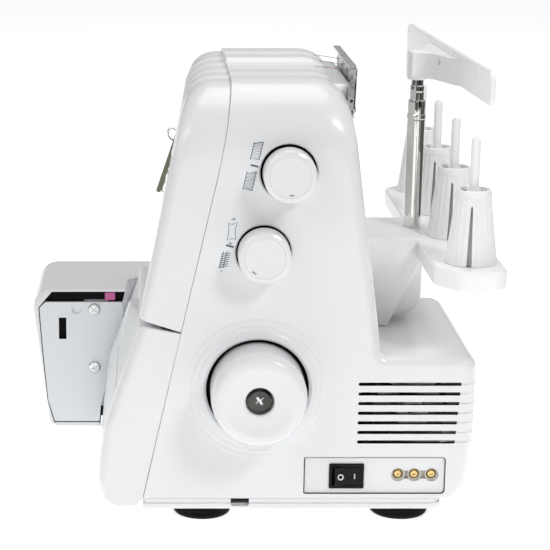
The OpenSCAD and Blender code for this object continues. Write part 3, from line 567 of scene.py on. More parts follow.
def housing():
    xs = stations(PILLAR, RIGHT, 10, 36, RELIEF_X + FILL_X + [3, 7])
    shell = loft_x("housing_shell", xs, housing_corners, WHITE, 6)
    inside = loft_x("cut", stations(PILLAR + WALL, RIGHT - WALL, 0, 33, FILL_X),
            lambda x: housing_corners(x, WALL), WHITE, 4)
    cuts = [inside]
    for (y, z), r in ((WHEEL, WHEEL_HOLE), (LENGTH_DIAL, LENGTH_HOLE), (FEED_DIAL, FEED_HOLE)):
        prof = [(95, 0), (95, r), (107.3, r), (108.9, r + 1.6), (108.9, 0)]
        cuts.append(turned("cut", prof, WHITE, 96, "x", (0, y, z)))
    for k in range(7):
        z = 53.3 + 6 * k
        y1 = 117 + 0.4 * k
        # vent slot through the wall; its walls take the dark gap material, painted shade inside the slot
        cuts.append(cutter(rect(59, z - 1, y1, z + 1, (0.9, 0.3, 0.3, 0.9)), "x", 100, 112, GAP))
        # each slot runs on as a shallow groove round the back edge
        groove = [(107.55, y1 - 2, 0), (107.55, 121, 0), (106.6, 124.4, 0), (104.6, 126.9, 0),
                (101.6, 128.2, 0), (70, 128.5, 0), (70, 134, 0), (114, 134, 0), (114, y1 - 2, 0)]
        cuts.append(cutter(groove, "z", z - 0.45, z + 0.45))
    # opening for the side panel; its walls take the dark gap material, painted shade in the gap round the
    # panel
    cuts.append(cutter(rect(27.8, 20.4, 112.3, 43.8, (1.2, 2.4, 2.4, 1.2)), "x", 100, 112, GAP))
    cuts += [block((-31, -46, 164), (-26.4, 46, 250)), block((-31, -92, 0), (-26.4, -4, 116)),
             block((-31, -62, 0), (-26.4, 60, 26)), rod_cutter("x", -31, -26, (0, -20, 130), 4.5)]
    combine(shell, cuts)
    return finish(shell, "machine", ["main_housing"])


def recess_cup(name, centre, r, hub):
    """Dark cup behind a knob or the handwheel, set in the housing wall: painted shade in the gap round it."""
    prof = [(107, r + 1), (101, r + 1), (101, hub), (102, hub), (102, hub + 1.2),
            (102, r - 0.8), (102.8, r + 0.02), (107, r + 0.02)]
    return finish(turned(name, prof, GAP, 96, "x", (0, *centre)), "machine")


def wheel_collar():
    """Raised ring of the housing round the handwheel, with two fine steps."""
    prof = arc_profile([(106.5, 31), (108.5, 31), (109.4, 31.9, 0.6), (109.4, 35.4, 0.5), (108.9, 36, 0.2),
                        (108.9, 38.6, 0.4), (108.3, 39.6, 0.3), (108.3, 42, 1), (107.6, 45), (106.5, 45)], 4)
    return finish(turned("wheel_collar", prof, WHITE, 128, "x", (0, *WHEEL)), "machine")


def front_cover():
    xs = stations(LEFT, RIGHT, 25, 36, RELIEF_X + FILL_X)
    shell = loft_x("head_front_shell", xs, front_corners, WHITE, 8)
    inside = loft_x("cut", stations(LEFT + WALL, RIGHT - WALL, 21, 33, FILL_X),
            lambda x: front_corners(x, WALL), WHITE, 5)
    shape = [(-100, 90, 0), (PILLAR, 90, 0), (PILLAR, 152, 8), (-34, 160, 4), (-82, 160, 6), (-92, 166, 0)]
    under = cutter(shape, "y", -120, 30, steps=6)
    cuts = [inside, under]
    # slits down the thread channels in the dark gap material: painted shade in the slits
    for c in CHANNELS:
        cuts.append(cutter(rect(c - 0.8, 190, c + 0.8, 300, (0.7, 0.7, 0, 0)), "y", -90, -4, GAP))
    for c in CHANNELS:
        w = c + 8.7
        cuts.append(cutter(rect(w - 4, 186, w + 4, 216, 1.5), "y", -90, -42))
    cuts.append(block((-72, -58, 150), (-40, -30, 164)))
    combine(shell, cuts)
    return finish(shell, "machine", ["head_front_cover"])


def left_cover():
    xs = stations(LEFT, PILLAR - 0.4, 25, 0, RELIEF_X + FILL_X + [-48, -47.9])
    shell = loft_x("head_left_shell", xs, left_corners, WHITE, 6)
    inside = loft_x("cut", stations(LEFT + WALL, PILLAR + 1, 21, 0, FILL_X),
            lambda x: left_corners(x, WALL), WHITE, 4)
    combine(shell, [inside, block((-72, -48, 150), (-40, 6, 164), r=2), block((-78, -37, 150),
            (-73.5, -15, 164), r=1)])
    ears = []
    for x in (-76, -60):
        shape = [(32, 161, 0), (34, 146, 4), (46, 146, 4), (48, 161, 0)]
        ears.append(slab("ear", shape, "x", x, x + 4, WHITE, 0.5))
    return finish(joined("head_left_shell", [shell] + ears), "machine", ["head_left_cover"])


def looper_cover():
    xs = stations(-35.5, 107.6, 4, 6, FILL_X + [104.45, 104.55])
    shell = loft_x("looper_cover_shell", xs, looper_corners, WHITE, 6)
    inside = loft_x("cut", [-32.9] + [x for x in FILL_X if -32 < x < 104] + [105],
            lambda x: looper_corners(x, WALL), WHITE, 4)
    shape = [(-34, 101, 0), (1, 81, 14), (96, 81, 5), (96, 119, 5), (-34, 119, 0)]
    area = cutter(shape, "y", -120, -60, steps=6)
    shape = [(-120, 60, 0), (-91.9, 60, 0), (-68.5, 123.4, 0), (-67, 130, 0), (-120, 130, 0)]
    face = slab("b", shape, "x", -60, 120, WHITE)
    combine(area, [face], "INTERSECT")
    combine(shell, [inside, area])
    arms = []
    for x in (0, 80):
        shape = [(-79, 13.5, 0), (-88, 14, 0), (-88, 22, 0), (-78.6, 22.6, 0), (-74, 22.2, 2),
                (-69.9, 18, 3), (-74, 13.8, 2)]
        arm = slab("arm", shape, "x", x, x + 8, WHITE, 0.4)
        combine(arm, [rod_cutter("x", x - 1, x + 9, HINGE, 2.05, segments=32)])
        arms.append(arm)
    return finish(joined("looper_cover_shell", [shell] + arms), "front_looper_cover",
            ["looper_cover"])


def bed():
    shell = loft_x("bed_casing", stations(-132, -41.8, 13, 2, [-110, -95, -80, -60, -50]), bed_corners,
            WHITE, 6)
    # the inner walls take the dark gap material: painted shade inside the casing
    inside = loft_x("cut", stations(-129, -47.2, 11, 0, [-110, -80, -60]), lambda x: bed_corners(x, 3),
            GAP, 5)
    # pocket of the end plate, the shaded gap over it, and everything behind the plate's rear edge
    pocket = [(-138.6, 93.9, 2), (-136.3, 61.3, 0), (-133.4, 28.4, 0), (-129, 12.9, 0), (-98.2, 12.9, 0),
            (-97.5, 9, 0), (-97.5, -20, 0), (160, -20, 0), (160, 140, 0), (-20, 140, 0), (-20, 104.9, 0),
            (-129.5, 104.9, 1.5)]
    under = block((-129, -94, 0), (-43, 59, 21))
    seat = block((-84.2, -66, 95), (-40, -14.2, 112))
    rear = cutter([(-47, -16, 0), (-47, 70, 0), (-40, 70, 0), (-40, -16, 0)], "z", 5, 26)
    combine(shell, [inside, cutter(pocket, "x", -44.2, -30, GAP), under, seat, rear])
    # the step behind the bed, up to the pillar
    step = slab("step", rect(-12, 17, 62, 106, (0, 2, 3, 1)), "x", -44.3, -30.4, WHITE, 0.4)
    # the hollow takes the dark gap material: painted shade inside the step
    hollow = cutter(rect(-9, 12, 59, 103), "x", -46, -33, GAP)
    combine(step, [hollow, block((-46, -16, 5), (-29, 59, 26))])
    return finish(joined("bed_casing", [shell, step]), "machine", ["bed_shell"])


def end_plate():
    plate = slab("bed_plate", [(y, z, 1) for y, z in PLATE], "x", -44.1, -42, M["painted_plate"], 0.35, 3)
    cuts = [rod_cutter("x", -46, -41, (0, PLATE_SCREW_Y, z), 2.2, M["painted_plate"]) for z in PLATE_SCREW_Z]
    prof = [(-43.3, 0), (-43.3, 3.3), (-41.8, 3.7), (-41.8, 0)]
    cuts.append(turned("cut", prof, M["painted_plate"], 48, "x", (0, -112.9, 93)))
    # slot whose walls take the dark gap material: painted shade inside it
    cuts.append(cutter(rect(-125, 72, -120, 87, 0.4), "x", -50, -41, GAP))
    combine(plate, cuts)
    return finish(plate, "machine", ["bed_end_plate"])


def cross_screw(name, x, y, z, r, head, mat, body, nodes=(), spin=0.35):
    """Pan-head screw with a cross recess, facing +X."""
    bend = head * 0.7
    shaft = [(x - 6, 0), (x - 6, 1.9), (x, 1.9), (x, r - 0.1)]
    dome = [(x + head * math.sin(a), (r - bend) + bend * math.cos(a)) for a in np.linspace(0, math.pi / 2, 6)]
    screw = turned(name, shaft + dome + [(x + head * 1.05, 0)], mat, 48, "x", (0, y, z))
    cuts = []
    for k in (0, 1):
        bar = cutter(rect(-r * 0.55, -r * 0.11, r * 0.55, r * 0.11), "x", x + head * 0.35, x + head + 2, mat)
        cuts.append(moved(bar, (0, y, z), (spin + k * math.pi / 2, 0, 0)))
    combine(screw, cuts)
    return finish(screw, body, nodes)


def base():
    def outline(d):
        c = [(-126, -68, 6), (107, -68, 3), (107, 111, 8), (-34, 111, 6), (-34, 60, 3), (-126, 60, 6)]
        return inset(c, d) if d else c
    levels = [(10, 1.6), (10.3, 0.8), (11, 0.2), (12, 0), (13.6, 0), (13.9, 0.7), (14.4, 0.7), (14.7, 0),
            (17, 0)]
    rings = [[(u, v, z) for u, v in rounded(outline(d), 5)] for z, d in levels]
    tray = skin("base_skirt", rings, WHITE)
    hollow = cutter(outline(2.6), "z", 13, 20)
    notch = cutter(rect(-15.5, 12.2, -4.5, 20, (1.5, 1.5, 0, 0)), "x", 103.9, 112, steps=4)
    combine(tray, [hollow, notch])
    parts = [tray]
    for x, y in FOOT_SPOTS:
        parts.append(turned("boss", [(12.9, 2.5), (20, 2.5), (20, 6), (12.9, 6)], WHITE, 32, "z", (x, y, 0)))
    for x in (-20, 60):
        shape = [(-78.2, 18, 3), (-74, 22.2, 3), (-62, 17.5, 0), (-60, 16.9, 0), (-60, 12.1, 0),
                (-67.9, 12.6, 0), (-74, 13.8, 2)]
        ear = slab("ear", shape, "x", x, x + 6, WHITE, 0.3)
        combine(ear, [rod_cutter("x", x - 1, x + 7, HINGE, 2.05, segments=32)])
        parts.append(ear)
    return finish(joined("base_skirt", parts), "machine", ["base_tray"])


def feet():
    prof = arc_profile([(0, 0), (0.6, 12.5), (0, 13.5, 0.4), (0, 16.9), (0.7, 17.5, 0.5),
            (2.2, 17.4, 0.4), (2.6, 16.2), (4.2, 15.4, 0.6), (6.4, 13.2, 1), (9.9, 12.6, 0.4), (10, 2.45),
            (16, 2.45, 0.4), (16, 0)], 4)
    feet_all = [turned("foot", prof, M["black_rubber"], 64, "z", (x, y, 0)) for x, y in FOOT_SPOTS]
    return finish(joined("rubber_foot_pads", feet_all), "machine", ["rubber_feet"])


# ---------------------------------------------------------------- controls on the side


def handwheel():
    rim = [(103.5, 5), (102.9, 26), (102.9, 28, 0.8), (124, 28, 8)]
    dish = [(132.4, 26.6, 4), (133, 21, 5), (131.9, 15, 8), (131.2, 9, 0.5), (130.2, 8.3, 0.2),
            (127.6, 8.3), (127.6, 5)]
    wheel = turned("wheel_body", arc_profile(rim + dish, 7), WHITE, 128, "x", (0, *WHEEL))
    finish(wheel, "drive_shaft", ["handwheel"], 40)
    prof = arc_profile([(126, 5), (128.2, 7.9, 0.2), (129.4, 7.7, 0.5), (129.9, 6.6, 0.6),
            (130.1, 6.2, 0.1), (129.9, 5.6), (130, 0)], 4)
    # the chrome screw takes a dark colour as painted dark reflection; the cross walls are cut in bright steel
    disc = turned("wheel_screw", [(126, 0)] + prof, M["polished_dark"], 64, "x", (0, *WHEEL))
    cuts = []
    for k in (0, 1):
        shape = [(-2.9, -0.75, 0), (-1, -0.75, 0), (1, -0.75, 0), (2.9, -0.75, 0), (3.2, 0, 0),
                (2.9, 0.75, 0), (-2.9, 0.75, 0), (-3.2, 0, 0)]
        bar = cutter(shape, "x", 128.2, 132, M["bright_steel"])
        cuts.append(moved(bar, (0, *WHEEL), (0.6 + k * math.pi / 2, 0, 0)))
    combine(disc, cuts)
    finish(disc, "drive_shaft", ["handwheel_screw"])


def dial(name, centre, body, node, mark):
    prof = arc_profile([(88, 0), (88, 3), (102.6, 3), (102.6, 13.2), (108.6, 13.2, 0.3), (108.6, 14.4),
            (109.4, 15.2, 0.5), (121.4, 15.15, 1), (122.4, 13.6, 0.5), (122.5, 12.2, 0.1),
            (122.35, 12.05), (122.2, 11.9), (122.35, 11.75), (122.5, 11.6, 0.1), (122.3, 0)], 4)
    knob = turned(name, prof, WHITE, 128, "x", (0, *centre))
    cuts = []
    for k in range(36):
        # fine finger grooves round the rim
        a = 2 * math.pi * k / 36
        c = (0, centre[0] + 15.75 * math.cos(a), centre[1] + 15.75 * math.sin(a))
        cuts.append(rod_cutter("x", 112, 119, c, 0.6, segments=12))
    bm = bmesh.new()
    for c in cuts:
        bm.from_mesh(c.data)
    merged = cuts[0]
    bm.to_mesh(merged.data)
    bm.free()
    for c in cuts[1:]:
        bpy.data.objects.remove(c)
    combine(knob, [merged])
    finish(knob, body, [node])
    ink = slab(name + "_mark", rect(-1.4, 9.9, 1.4, 10.7, 0.3), "x", 121.6, 122.58, M["grey_ink"])
    finish(moved(ink, (0, *centre), (math.radians(mark), 0, 0)), body)


def ribbon(name, strokes, width):
    """Printed line art on the side face: flat strokes given as lists of (Y, Z)."""
    verts, faces = [], []
    for pts in strokes:
        closed = pts[0] == pts[-1]
        p = [Vector(q) for q in (pts[:-1] if closed else pts)]
        n = len(p)
        base_index = len(verts)
        for i in range(n):
            a = p[i - 1] if (i > 0 or closed) else p[i]
            b = p[(i + 1) % n] if (i < n - 1 or closed) else p[i]
            e = (b - a).normalized()
            normal = Vector((-e.y, e.x)) * width / 2
            for q in (p[i] + normal, p[i] - normal):
                verts.append((RIGHT + 0.06, q.x, q.y))
                verts.append((RIGHT - 0.25, q.x, q.y))
        for i in range(n if closed else n - 1):
            a, b = base_index + 4 * i, base_index + 4 * ((i + 1) % n)
            faces += [(a, a + 2, b + 2, b), (a, b, b + 1, a + 1), (a + 2, a + 3, b + 3, b + 2),
                    (a + 1, b + 1, b + 3, a + 3)]
        if not closed:
            a, b = base_index, base_index + 4 * (n - 1)
            faces += [(a, a + 1, a + 3, a + 2), (b, b + 2, b + 3, b + 1)]
    return finish(to_object(name, verts, faces, M["ink"]), "machine")


def zigzag(cy, cz, width, height, teeth, lean, double=False):
    """Looped overlock stitch drawn as a zigzag between two rails, leaning with the seam."""
    strokes = []
    for side in (-1, 1):
        rail = [(cy + side * width / 2 + lean * t * height, cz + t * height) for t in (-0.5, 0, 0.5)]
        strokes.append(rail)
    pts = []
    for k in range(2 * teeth + 1):
        t = k / (2 * teeth) - 0.5
        pts.append((cy + (-1 if k % 2 else 1) * width / 2 + lean * t * height, cz + t * height))
    strokes.append(pts)
    if double:
        strokes.append([(q[0] + 0.6, q[1] - 0.7) for q in pts])
    return strokes


def pictograms():
    lean = 0.22
    upper = zigzag(-3.2, 228.6, 5, 10, 6, lean)
    lower = zigzag(-7, 211.4, 5.2, 10.4, 5, lean, True)
    ribbon("length_marks", upper + lower, width=0.42)
    ribbon("length_index", [[(-6.4, 220.5), (-2, 219.4)]], width=1.1)
    cy, cz = -16.2, 181.8
    cloth = [(-2.6, 4.6), (-0.4, 4), (2.6, 5), (1.5, 1.5), (1.3, -1.5), (1.9, -5), (-0.5, -4.3),
             (-3.4, -5.2), (-2.5, -1.6), (-2.3, 1.5), (-2.6, 4.6)]
    arrows = [[(0.4, 7.4), (0.4, 6.2)], [(-0.9, 6.6), (0.4, 7.6), (1.7, 6.9)],
              [(-1.4, -6.4), (-1.4, -7.6)], [(-2.6, -6.9), (-1.4, -7.9), (-0.2, -7.1)]]
    strokes = [[(cy + u, cz + v) for u, v in line] for line in [cloth] + arrows]
    ribbon("feed_marks", strokes, width=0.36)
    rows = []
    for k in range(7):
        z = 168.6 - 1.3 * k
        rows.append([(-22.8 - 0.25 * k, z - 0.6), (-17.4 - 0.25 * k, z + 0.4)])
    rows += [[(-21.4, 169.8), (-23.6, 159.6)], [(-19.4, 170.2), (-21.6, 160)],
            [(-22.6, 157.6), (-22.3, 158.6)]]
    ribbon("feed_gather_marks", rows, width=0.42)
    ribbon("feed_index", [[(-20, 173.5), (-15.6, 172.3)]], width=1.1)


def side_panel():
    panel = slab("switch_panel", rect(28.4, 20.6, 112, 43.2, (1, 2.2, 2.2, 1)), "x", 104, 106.9, WHITE, 0.3)
    # hole for the switch; its walls take the dark gap material, painted shade round the switch
    cuts = [block((100, 43.4, 24.1), (110, 63.4, 38.9), GAP)]
    lobes = cutter(rect(84.3, 29.6, 104.3, 34.8), "x", 100, 110, M["ivory"])
    cuts.append(lobes)
    cuts += [rod_cutter("x", 100, 110, (0, y, SOCKET_Z), 4.2, M["ivory"]) for y in SOCKET_Y]
    combine(panel, cuts)
    # dark frame behind the panel: a sheet of painted shade seen through the gap round the panel
    flange = slab("flange", rect(24.6, 20.6, 115.4, 46.8), "x", 101.2, 105.2, GAP)
    combine(flange, [cutter(rect(30, 22, 110, 42), "x", 100, 107, GAP)])
    finish(joined("switch_panel", [panel, flange]), "machine", ["side_panel"])
    rim = slab("switch_frame", rect(43, 23.7, 63.8, 39.3, 0.8), "x", 105.6, 108, M["black_plastic"], 0.4)
    can = slab("can", rect(43.5, 24.2, 63.3, 38.8), "x", 86.5, 105.7, M["black_plastic"])
    well = cutter(rect(44.8, 25.5, 62, 37.5, 0.4), "x", 94, 112, M["black_plastic"])
    combine(rim, [can], "UNION")
    combine(rim, [well])
    finish(rim, "machine", ["switch_body"])
    # rocker, pressed in at its back half
    pts = [(-4, -3, 0.4), (3.6, -8, 0.5), (6.4, -7.9, 0.5), (5.3, -3.6, 2), (4.9, 0, 6), (5.3, 3.6, 2),
            (6.4, 7.9, 0.5), (3.6, 8, 0.5), (-4, 3, 0.4)]
    rocker = slab("rocker_cap", pts, "z", -5.8, 5.8, M["black_plastic"], 0.4, 3)
    pin = turned("pin", [(-6.8, 0), (-6.8, 1.2), (6.8, 1.2), (6.8, 0)], M["black_plastic"], 24, "z")
    prof = [(4.6, 1.25), (6.2, 1.25), (6.2, 1.85), (4.6, 1.85)]
    ring = turned("ring", prof, M["white_ink"], 32, "x", (0, -4.4, 0))
    bar = slab("bar", rect(3.9, -1.6, 4.5, 1.6), "x", 4.6, 5.6, M["white_ink"])
    whole = joined("rocker_cap", [rocker, pin, ring, bar])
    moved(whole, ROCKER_AXIS, (0, 0, math.radians(7)))
    finish(whole, "rocker", ["switch_rocker"])
    prof = [(91, 0), (91, 4.1), (106.3, 4.1), (106.3, 3.5), (104.6, 2.9), (101, 2.8), (101, 0)]
    bodies = [turned("cup", prof, M["ivory"], 40, "x", (0, y, SOCKET_Z)) for y in SOCKET_Y]
    web = slab("web", rect(84.3, 29.7, 104.3, 34.7), "x", 91.2, 104.6, M["ivory"])
    combine(web, [rod_cutter("x", 90, 110, (0, y, SOCKET_Z), 3.6, M["ivory"], 40) for y in SOCKET_Y])
    finish(joined("inlet_socket", bodies + [web]), "machine", ["socket_body"])
    prof = arc_profile([(95, 0), (95, 2.6), (104.4, 2.6, 0.3), (105.4, 2, 0.5), (105.4, 1, 0.1),
            (104.4, 0.8), (104.2, 0)], 4)
    pins = [turned("pin", prof, M["brass_pins"], 40, "x", (0, y, SOCKET_Z)) for y in SOCKET_Y]
    finish(joined("inlet_contacts", pins), "machine", ["socket_pins"])


# ---------------------------------------------------------------- thread stand

PIN_X, PIN_Y = (94, 26, -42, -110), 124
POLE = (5, 102.4)


def thread_stand():
    def plan(d=0):
        c = [(-133, 142.5, 9), (119, 142.5, 9), (119, 114, 9), (104, 101, 9), (-118, 101, 9), (-133, 114, 9)]
        return inset(c, d) if d else c
    tray = slab("thread_stand", plan(), "z", 148, 160, STAND, 1.8, 6, 5)
    combine(tray, [cutter(plan(3), "z", 146, 157, STAND), block((-22, 98, 146), (42, 104.1, 157), STAND)])
    web = [(65.4, 161.2, 0), (103, 161.2, 3), (106.2, 157, 3), (106, 151.5, 3), (84, 105.1, 1),
            (78.6, 105.1, 0.5), (72.9, 110.6, 0)]
    leg = slab("leg", web, "x", -20, 40, STAND, 1, 5, 4)
    shape = [(69.5, 160, 0), (105.9, 160, 2), (105.9, 119, 4), (101, 113, 3), (87, 108.6, 2),
            (80, 106.6, 0), (74, 111, 0)]
    column = slab("column", shape, "x", -12, 32, STAND, 2, 5, 4)
    combine(leg, [column], "UNION")
    shape = [(70, 157, 0), (102.5, 157, 0), (102.5, 119, 0), (100, 116, 0), (85, 111.5, 0), (76, 113, 0)]
    inner = cutter(shape, "x", -9, 29, STAND)
    # the pole bores take the dark gap material: painted shade down the bores
    combine(leg, [inner, rod_cutter("z", 155, 166, (*POLE, 0), 5.5, GAP)])
    combine(tray, [rod_cutter("z", 146, 166, (*POLE, 0), 5.5, GAP)])
    pins = []
    for x in PIN_X:
        prof = arc_profile([(159, 0), (159, 4.2), (160.6, 4.2, 0.6), (161.4, 3.1, 0.6), (180, 2.8),
                (231.4, 2.75, 1), (234, 2, 1.4), (234, 0)], 5)
        pins.append(turned("pin", prof, STAND, 32, "z", (x, PIN_Y, 0)))
    return finish(joined("thread_stand", [tray, leg] + pins), "machine", ["spool_stand"])


def spool_cone(x, name):
    """Slotted cone with a rolled top rim and a dark mouth round the pin, its holes cut in the dark gap
    material as painted shade.
    """
    z0, z1 = 160.05, 204
    prof = arc_profile([(z0, 13.2), (z0, 14.8), (z0 + 0.8, 15.2, 0.3), (z0 + 2, 14.9, 0.3),
            (z1 - 4.2, 10.1), (z1 - 4, 10.5, 0.2), (z1 - 0.6, 9.9, 0.4), (z1, 9.2, 0.3),
            (z1 - 0.5, 8.2, 0.3), (z1 - 3, 7.9), (z1 - 4, 8.1)], 3)
    outer = turned(name, prof, STAND, 96, "z", (x, PIN_Y, 0))
    slots = []
    for k in range(4):
        a = math.radians(90 * k - 14)
        ends = ((z0 - 1, 1.55), (z0 + 35, 0.6))
        rings = [[(6, -w, z), (20, -w, z), (20, w, z), (6, w, z)] for z, w in ends]
        slots.append(moved(skin("cut", rings, M["white_knob"]), (x, PIN_Y, 0), (0, 0, a)))
    combine(outer, slots)
    ribs = []
    for k in range(24):
        if k % 6 == 0:
            continue
        a = 2 * math.pi * (k / 24) - math.radians(14)
        e, tl = Vector((math.cos(a), math.sin(a))), Vector((-math.sin(a), math.cos(a)))
        ring = []
        for z, r in ((z0 + 1.9, 14.75), (z1 - 4.4, 10)):
            section = ((r - 0.5, -0.6), (r + 0.42, -0.22), (r + 0.42, 0.22), (r - 0.5, 0.6))
            ring.append([(x + e.x * q + tl.x * w, PIN_Y + e.y * q + tl.y * w, z) for q, w in section])
        ribs.append(skin("rib", ring, STAND))
    prof = [(z0 + 0.1, 2.9), (z0 + 0.1, 11.6), (z1 - 6, 7), (z1 - 5, 4.4), (z1 - 1, 4.2), (z1 - 1, 2.9)]
    core = turned("core", prof, M["white_knob"], 48, "z", (x, PIN_Y, 0))
    prof = [(z1 - 4.4, 4.5), (z1 - 4.4, 8.6), (z1 - 2.2, 8.3), (z1 - 2.2, 4.5)]
    web = turned("web", prof, M["white_knob"], 48, "z", (x, PIN_Y, 0))
    holes = []
    # holes in the dark gap material: painted shade down the holes
    for k in range(4):
        a = math.radians(90 * k + 45)
        holes.append(rod_cutter("z", z1 - 8, z1, (x + 6.4 * math.cos(a), PIN_Y + 6.4 * math.sin(a), 0),
                1.35, GAP, 20))
    combine(web, holes)
    return joined(name, [outer, core, web] + ribs)


def cones():
    made = [spool_cone(x, f"spool_cone_{i}") for i, x in enumerate(PIN_X, 1)]
    finish(joined("spool_cone_set", made), "machine", ["spool_cones"])


def pole():
    c = (*POLE, 0)
    prof = arc_profile([(156, 4.4), (156, 5.45), (157, 5.45), (229.3, 5.45), (229.8, 5.3, 0.1),
            (230.2, 5.75, 0.2), (232.6, 5.75, 0.2), (233, 5.3, 0.1), (240.6, 5.4), (242, 5, 0.4),
            (242, 4.4)], 3)
    outer = turned("pole_outer", prof, M["chrome"], 64, "z", c)
    finish(outer, "machine", ["pole_outer_tube"])
    prof = arc_profile([(160, 3.4), (160, 4.35), (246.6, 4.35), (246.9, 4.15, 0.1), (247.5, 4.35, 0.1),
            (250.4, 4.35, 0.3), (251, 4, 0.2), (251, 3.4)], 3)
    middle = turned("pole_middle_piece", prof, M["chrome"], 64, "z", c)
    finish(middle, "pole_middle", ["pole_middle_tube"])
    prof = [(164, 0), (164, 3.2), (165, 3.35), (251.1, 3.35), (251.2, 3.8), (254.6, 3.8), (254.7, 3.35),
            (264.9, 3.35), (265, 0)]
    top = turned("pole_top_piece", prof, M["chrome"], 64, "z", c)
    finish(top, "pole_top", ["pole_top_tube"])


def guide_bar():
    px, py = POLE
    skew = ((px, 119.5, 0), (0, 0, math.radians(2.8)))
    shape = [(px - 6.6, 95.6, 5), (px + 6.6, 95.6, 5), (px + 8.5, 107, 16), (50, 120.4, 0), (-40, 116, 0),
            (px - 8.5, 106, 14)]
    arm = slab("thread_bar", shape, "z", 256.4, 272.6, STAND, 0.9, 10)
    prof = arc_profile([(254.8, 3.42), (254.8, 6.2), (255.6, 6.7, 0.4), (271.6, 6.6, 1.4),
            (272.9, 5.2, 1.2), (272.9, 0)], 4)
    hub = turned("hub", prof, STAND, 48, "z", (px, py, 0))
    plate = slab("plate", rect(-117, 257.1, 123, 276, (2.5, 3, 5, 5)), "y", -1.6, 1.6, STAND, 0.9, 6)
    bore = turned("cut", [(250, 0), (250, 3.42), (265.05, 3.42), (265.05, 0)], STAND, 48, "z", (px, py, 0))
    combine(arm, [hub], "UNION")
    cuts = [bore]
    for x in PIN_X:
        hole = turned("cut", [(-16, 0), (-16, 1.8), (6, 1.8), (6, 0)], STAND, 32, "y", (x - px, 0, 268))
        shape = [(x - px + 0.3, 268.5, 0), (x - px + 1.7, 268.5, 0), (x - px + 5.4, 278, 0),
                (x - px + 3.4, 278, 0)]
        slot = cutter(shape, "y", -6, 6, STAND)
        cuts += [moved(hole, *skew), moved(slot, *skew)]
    moved(plate, *skew)
    combine(arm, [plate], "UNION")
    combine(arm, cuts)
    return finish(arm, "guide_bar", ["thread_guide_bar"])


# ---------------------------------------------------------------- thread guides on the head


def guide_plate():
    shape = [(-25, 241.5, 3), (76, 241.5, 3), (76, 272, 3), (60, 272, 0), (-25, 272, 3)]
    plate = slab("thread_plate", shape, "y", 0, 1.2, M["bright_steel"], 0.25, 4)
    cuts = []
    for x in (60, 33, 6, -21):
        # holes and slots cut with the dark metal: painted shade on their walls
        for z in (254, 264):
            cuts.append(rod_cutter("y", -3, 4, (x, 0, z), 1.6, M["dark_metal"], 28))
        cuts.append(cutter(rect(x + 4.5, 258, x + 6.1, 275, (0.5, 0.5, 0, 0)), "y", -3, 4, M["dark_metal"]))
    combine(plate, cuts)
    shape = [(-24, 272, 0.4), (-24, 270.6, 0), (75, 270.6, 0), (75, 272, 0.4)]
    lip = slab("lip", shape, "y", -3, 0.6, M["bright_steel"], 0.2)
    moved(lip, (0, 0, -0.1))
    shape = [(-3.4, 246.5, 1.5), (1.1, 246.5, 1.5), (1.1, 268, 1.5), (-3.4, 262, 1.5)]
    flange = slab("flange", shape, "x", 74.6, 76, M["bright_steel"], 0.25)
    # hole whose walls take the dark gap material: painted shade inside it
    combine(flange, [rod_cutter("x", 70, 80, (0, -1.3, 252), 1, GAP, 24)])
    whole = joined("thread_plate", [plate, lip, flange])
    moved(whole, (0, 54.4, 0), (-math.radians(1.9), 0, 0), (0, 0, 241))
    finish(whole, "machine", ["thread_guide_plate"])
    for i, x in enumerate((-15, 66)):
        prof = [(54.5, 0), (54.5, 1.2), (56, 1.2), (56, 2.4), (56.7, 2.2), (57.3, 1.4), (57.5, 0)]
        screw = turned(f"plate_screw_{i + 1}", prof, M["steel"], 32, "y", (x, 0, 245.5))
        # screw slot cut with the dark metal: painted shade inside the slot
        combine(screw, [block((x - 1.8, 56.9, 245.2), (x + 1.8, 58, 245.8), M["dark_metal"])])
        finish(screw, "machine")
    # white foot that carries the plate on the back of the head
    def foot(x):
        t, tl = 72 - x, x + 30
        c = [(24, 261.4, 0.2), (24, 236, 0.2), (55.6, 236, 2), (54.2, 261.4, 3)]
        rim = drop(5, t) + drop(5, tl)
        return inset(c, [0, drop(3, t) + drop(3, tl), rim, rim])
    pedestal = loft_x("plate_foot", stations(-30, 72, 5, 5), foot, WHITE, 4)
    finish(pedestal, "machine")


def threads():
    z = 264.6
    strands = ((-21, "thread_dark", 30), (6, "thread_blue", 27), (33, "thread_pink", 26))
    for i, (x, mat, y0) in enumerate(strands):
        c = x - 8.7
        pts = [(x, 57, 263.6), (x, 55, 264.1), (x - 1.5, 50, 264.6), (c + 2.5, 40, z + 1.4),
                (c + 0.6, y0, z - 0.6), (c, y0 - 10, z - 1.8), (c, -4, z - 2.1), (c, -20, z - 4)]
        tube(f"thread_{i + 1}", pts, 0.15, M[mat], "machine")


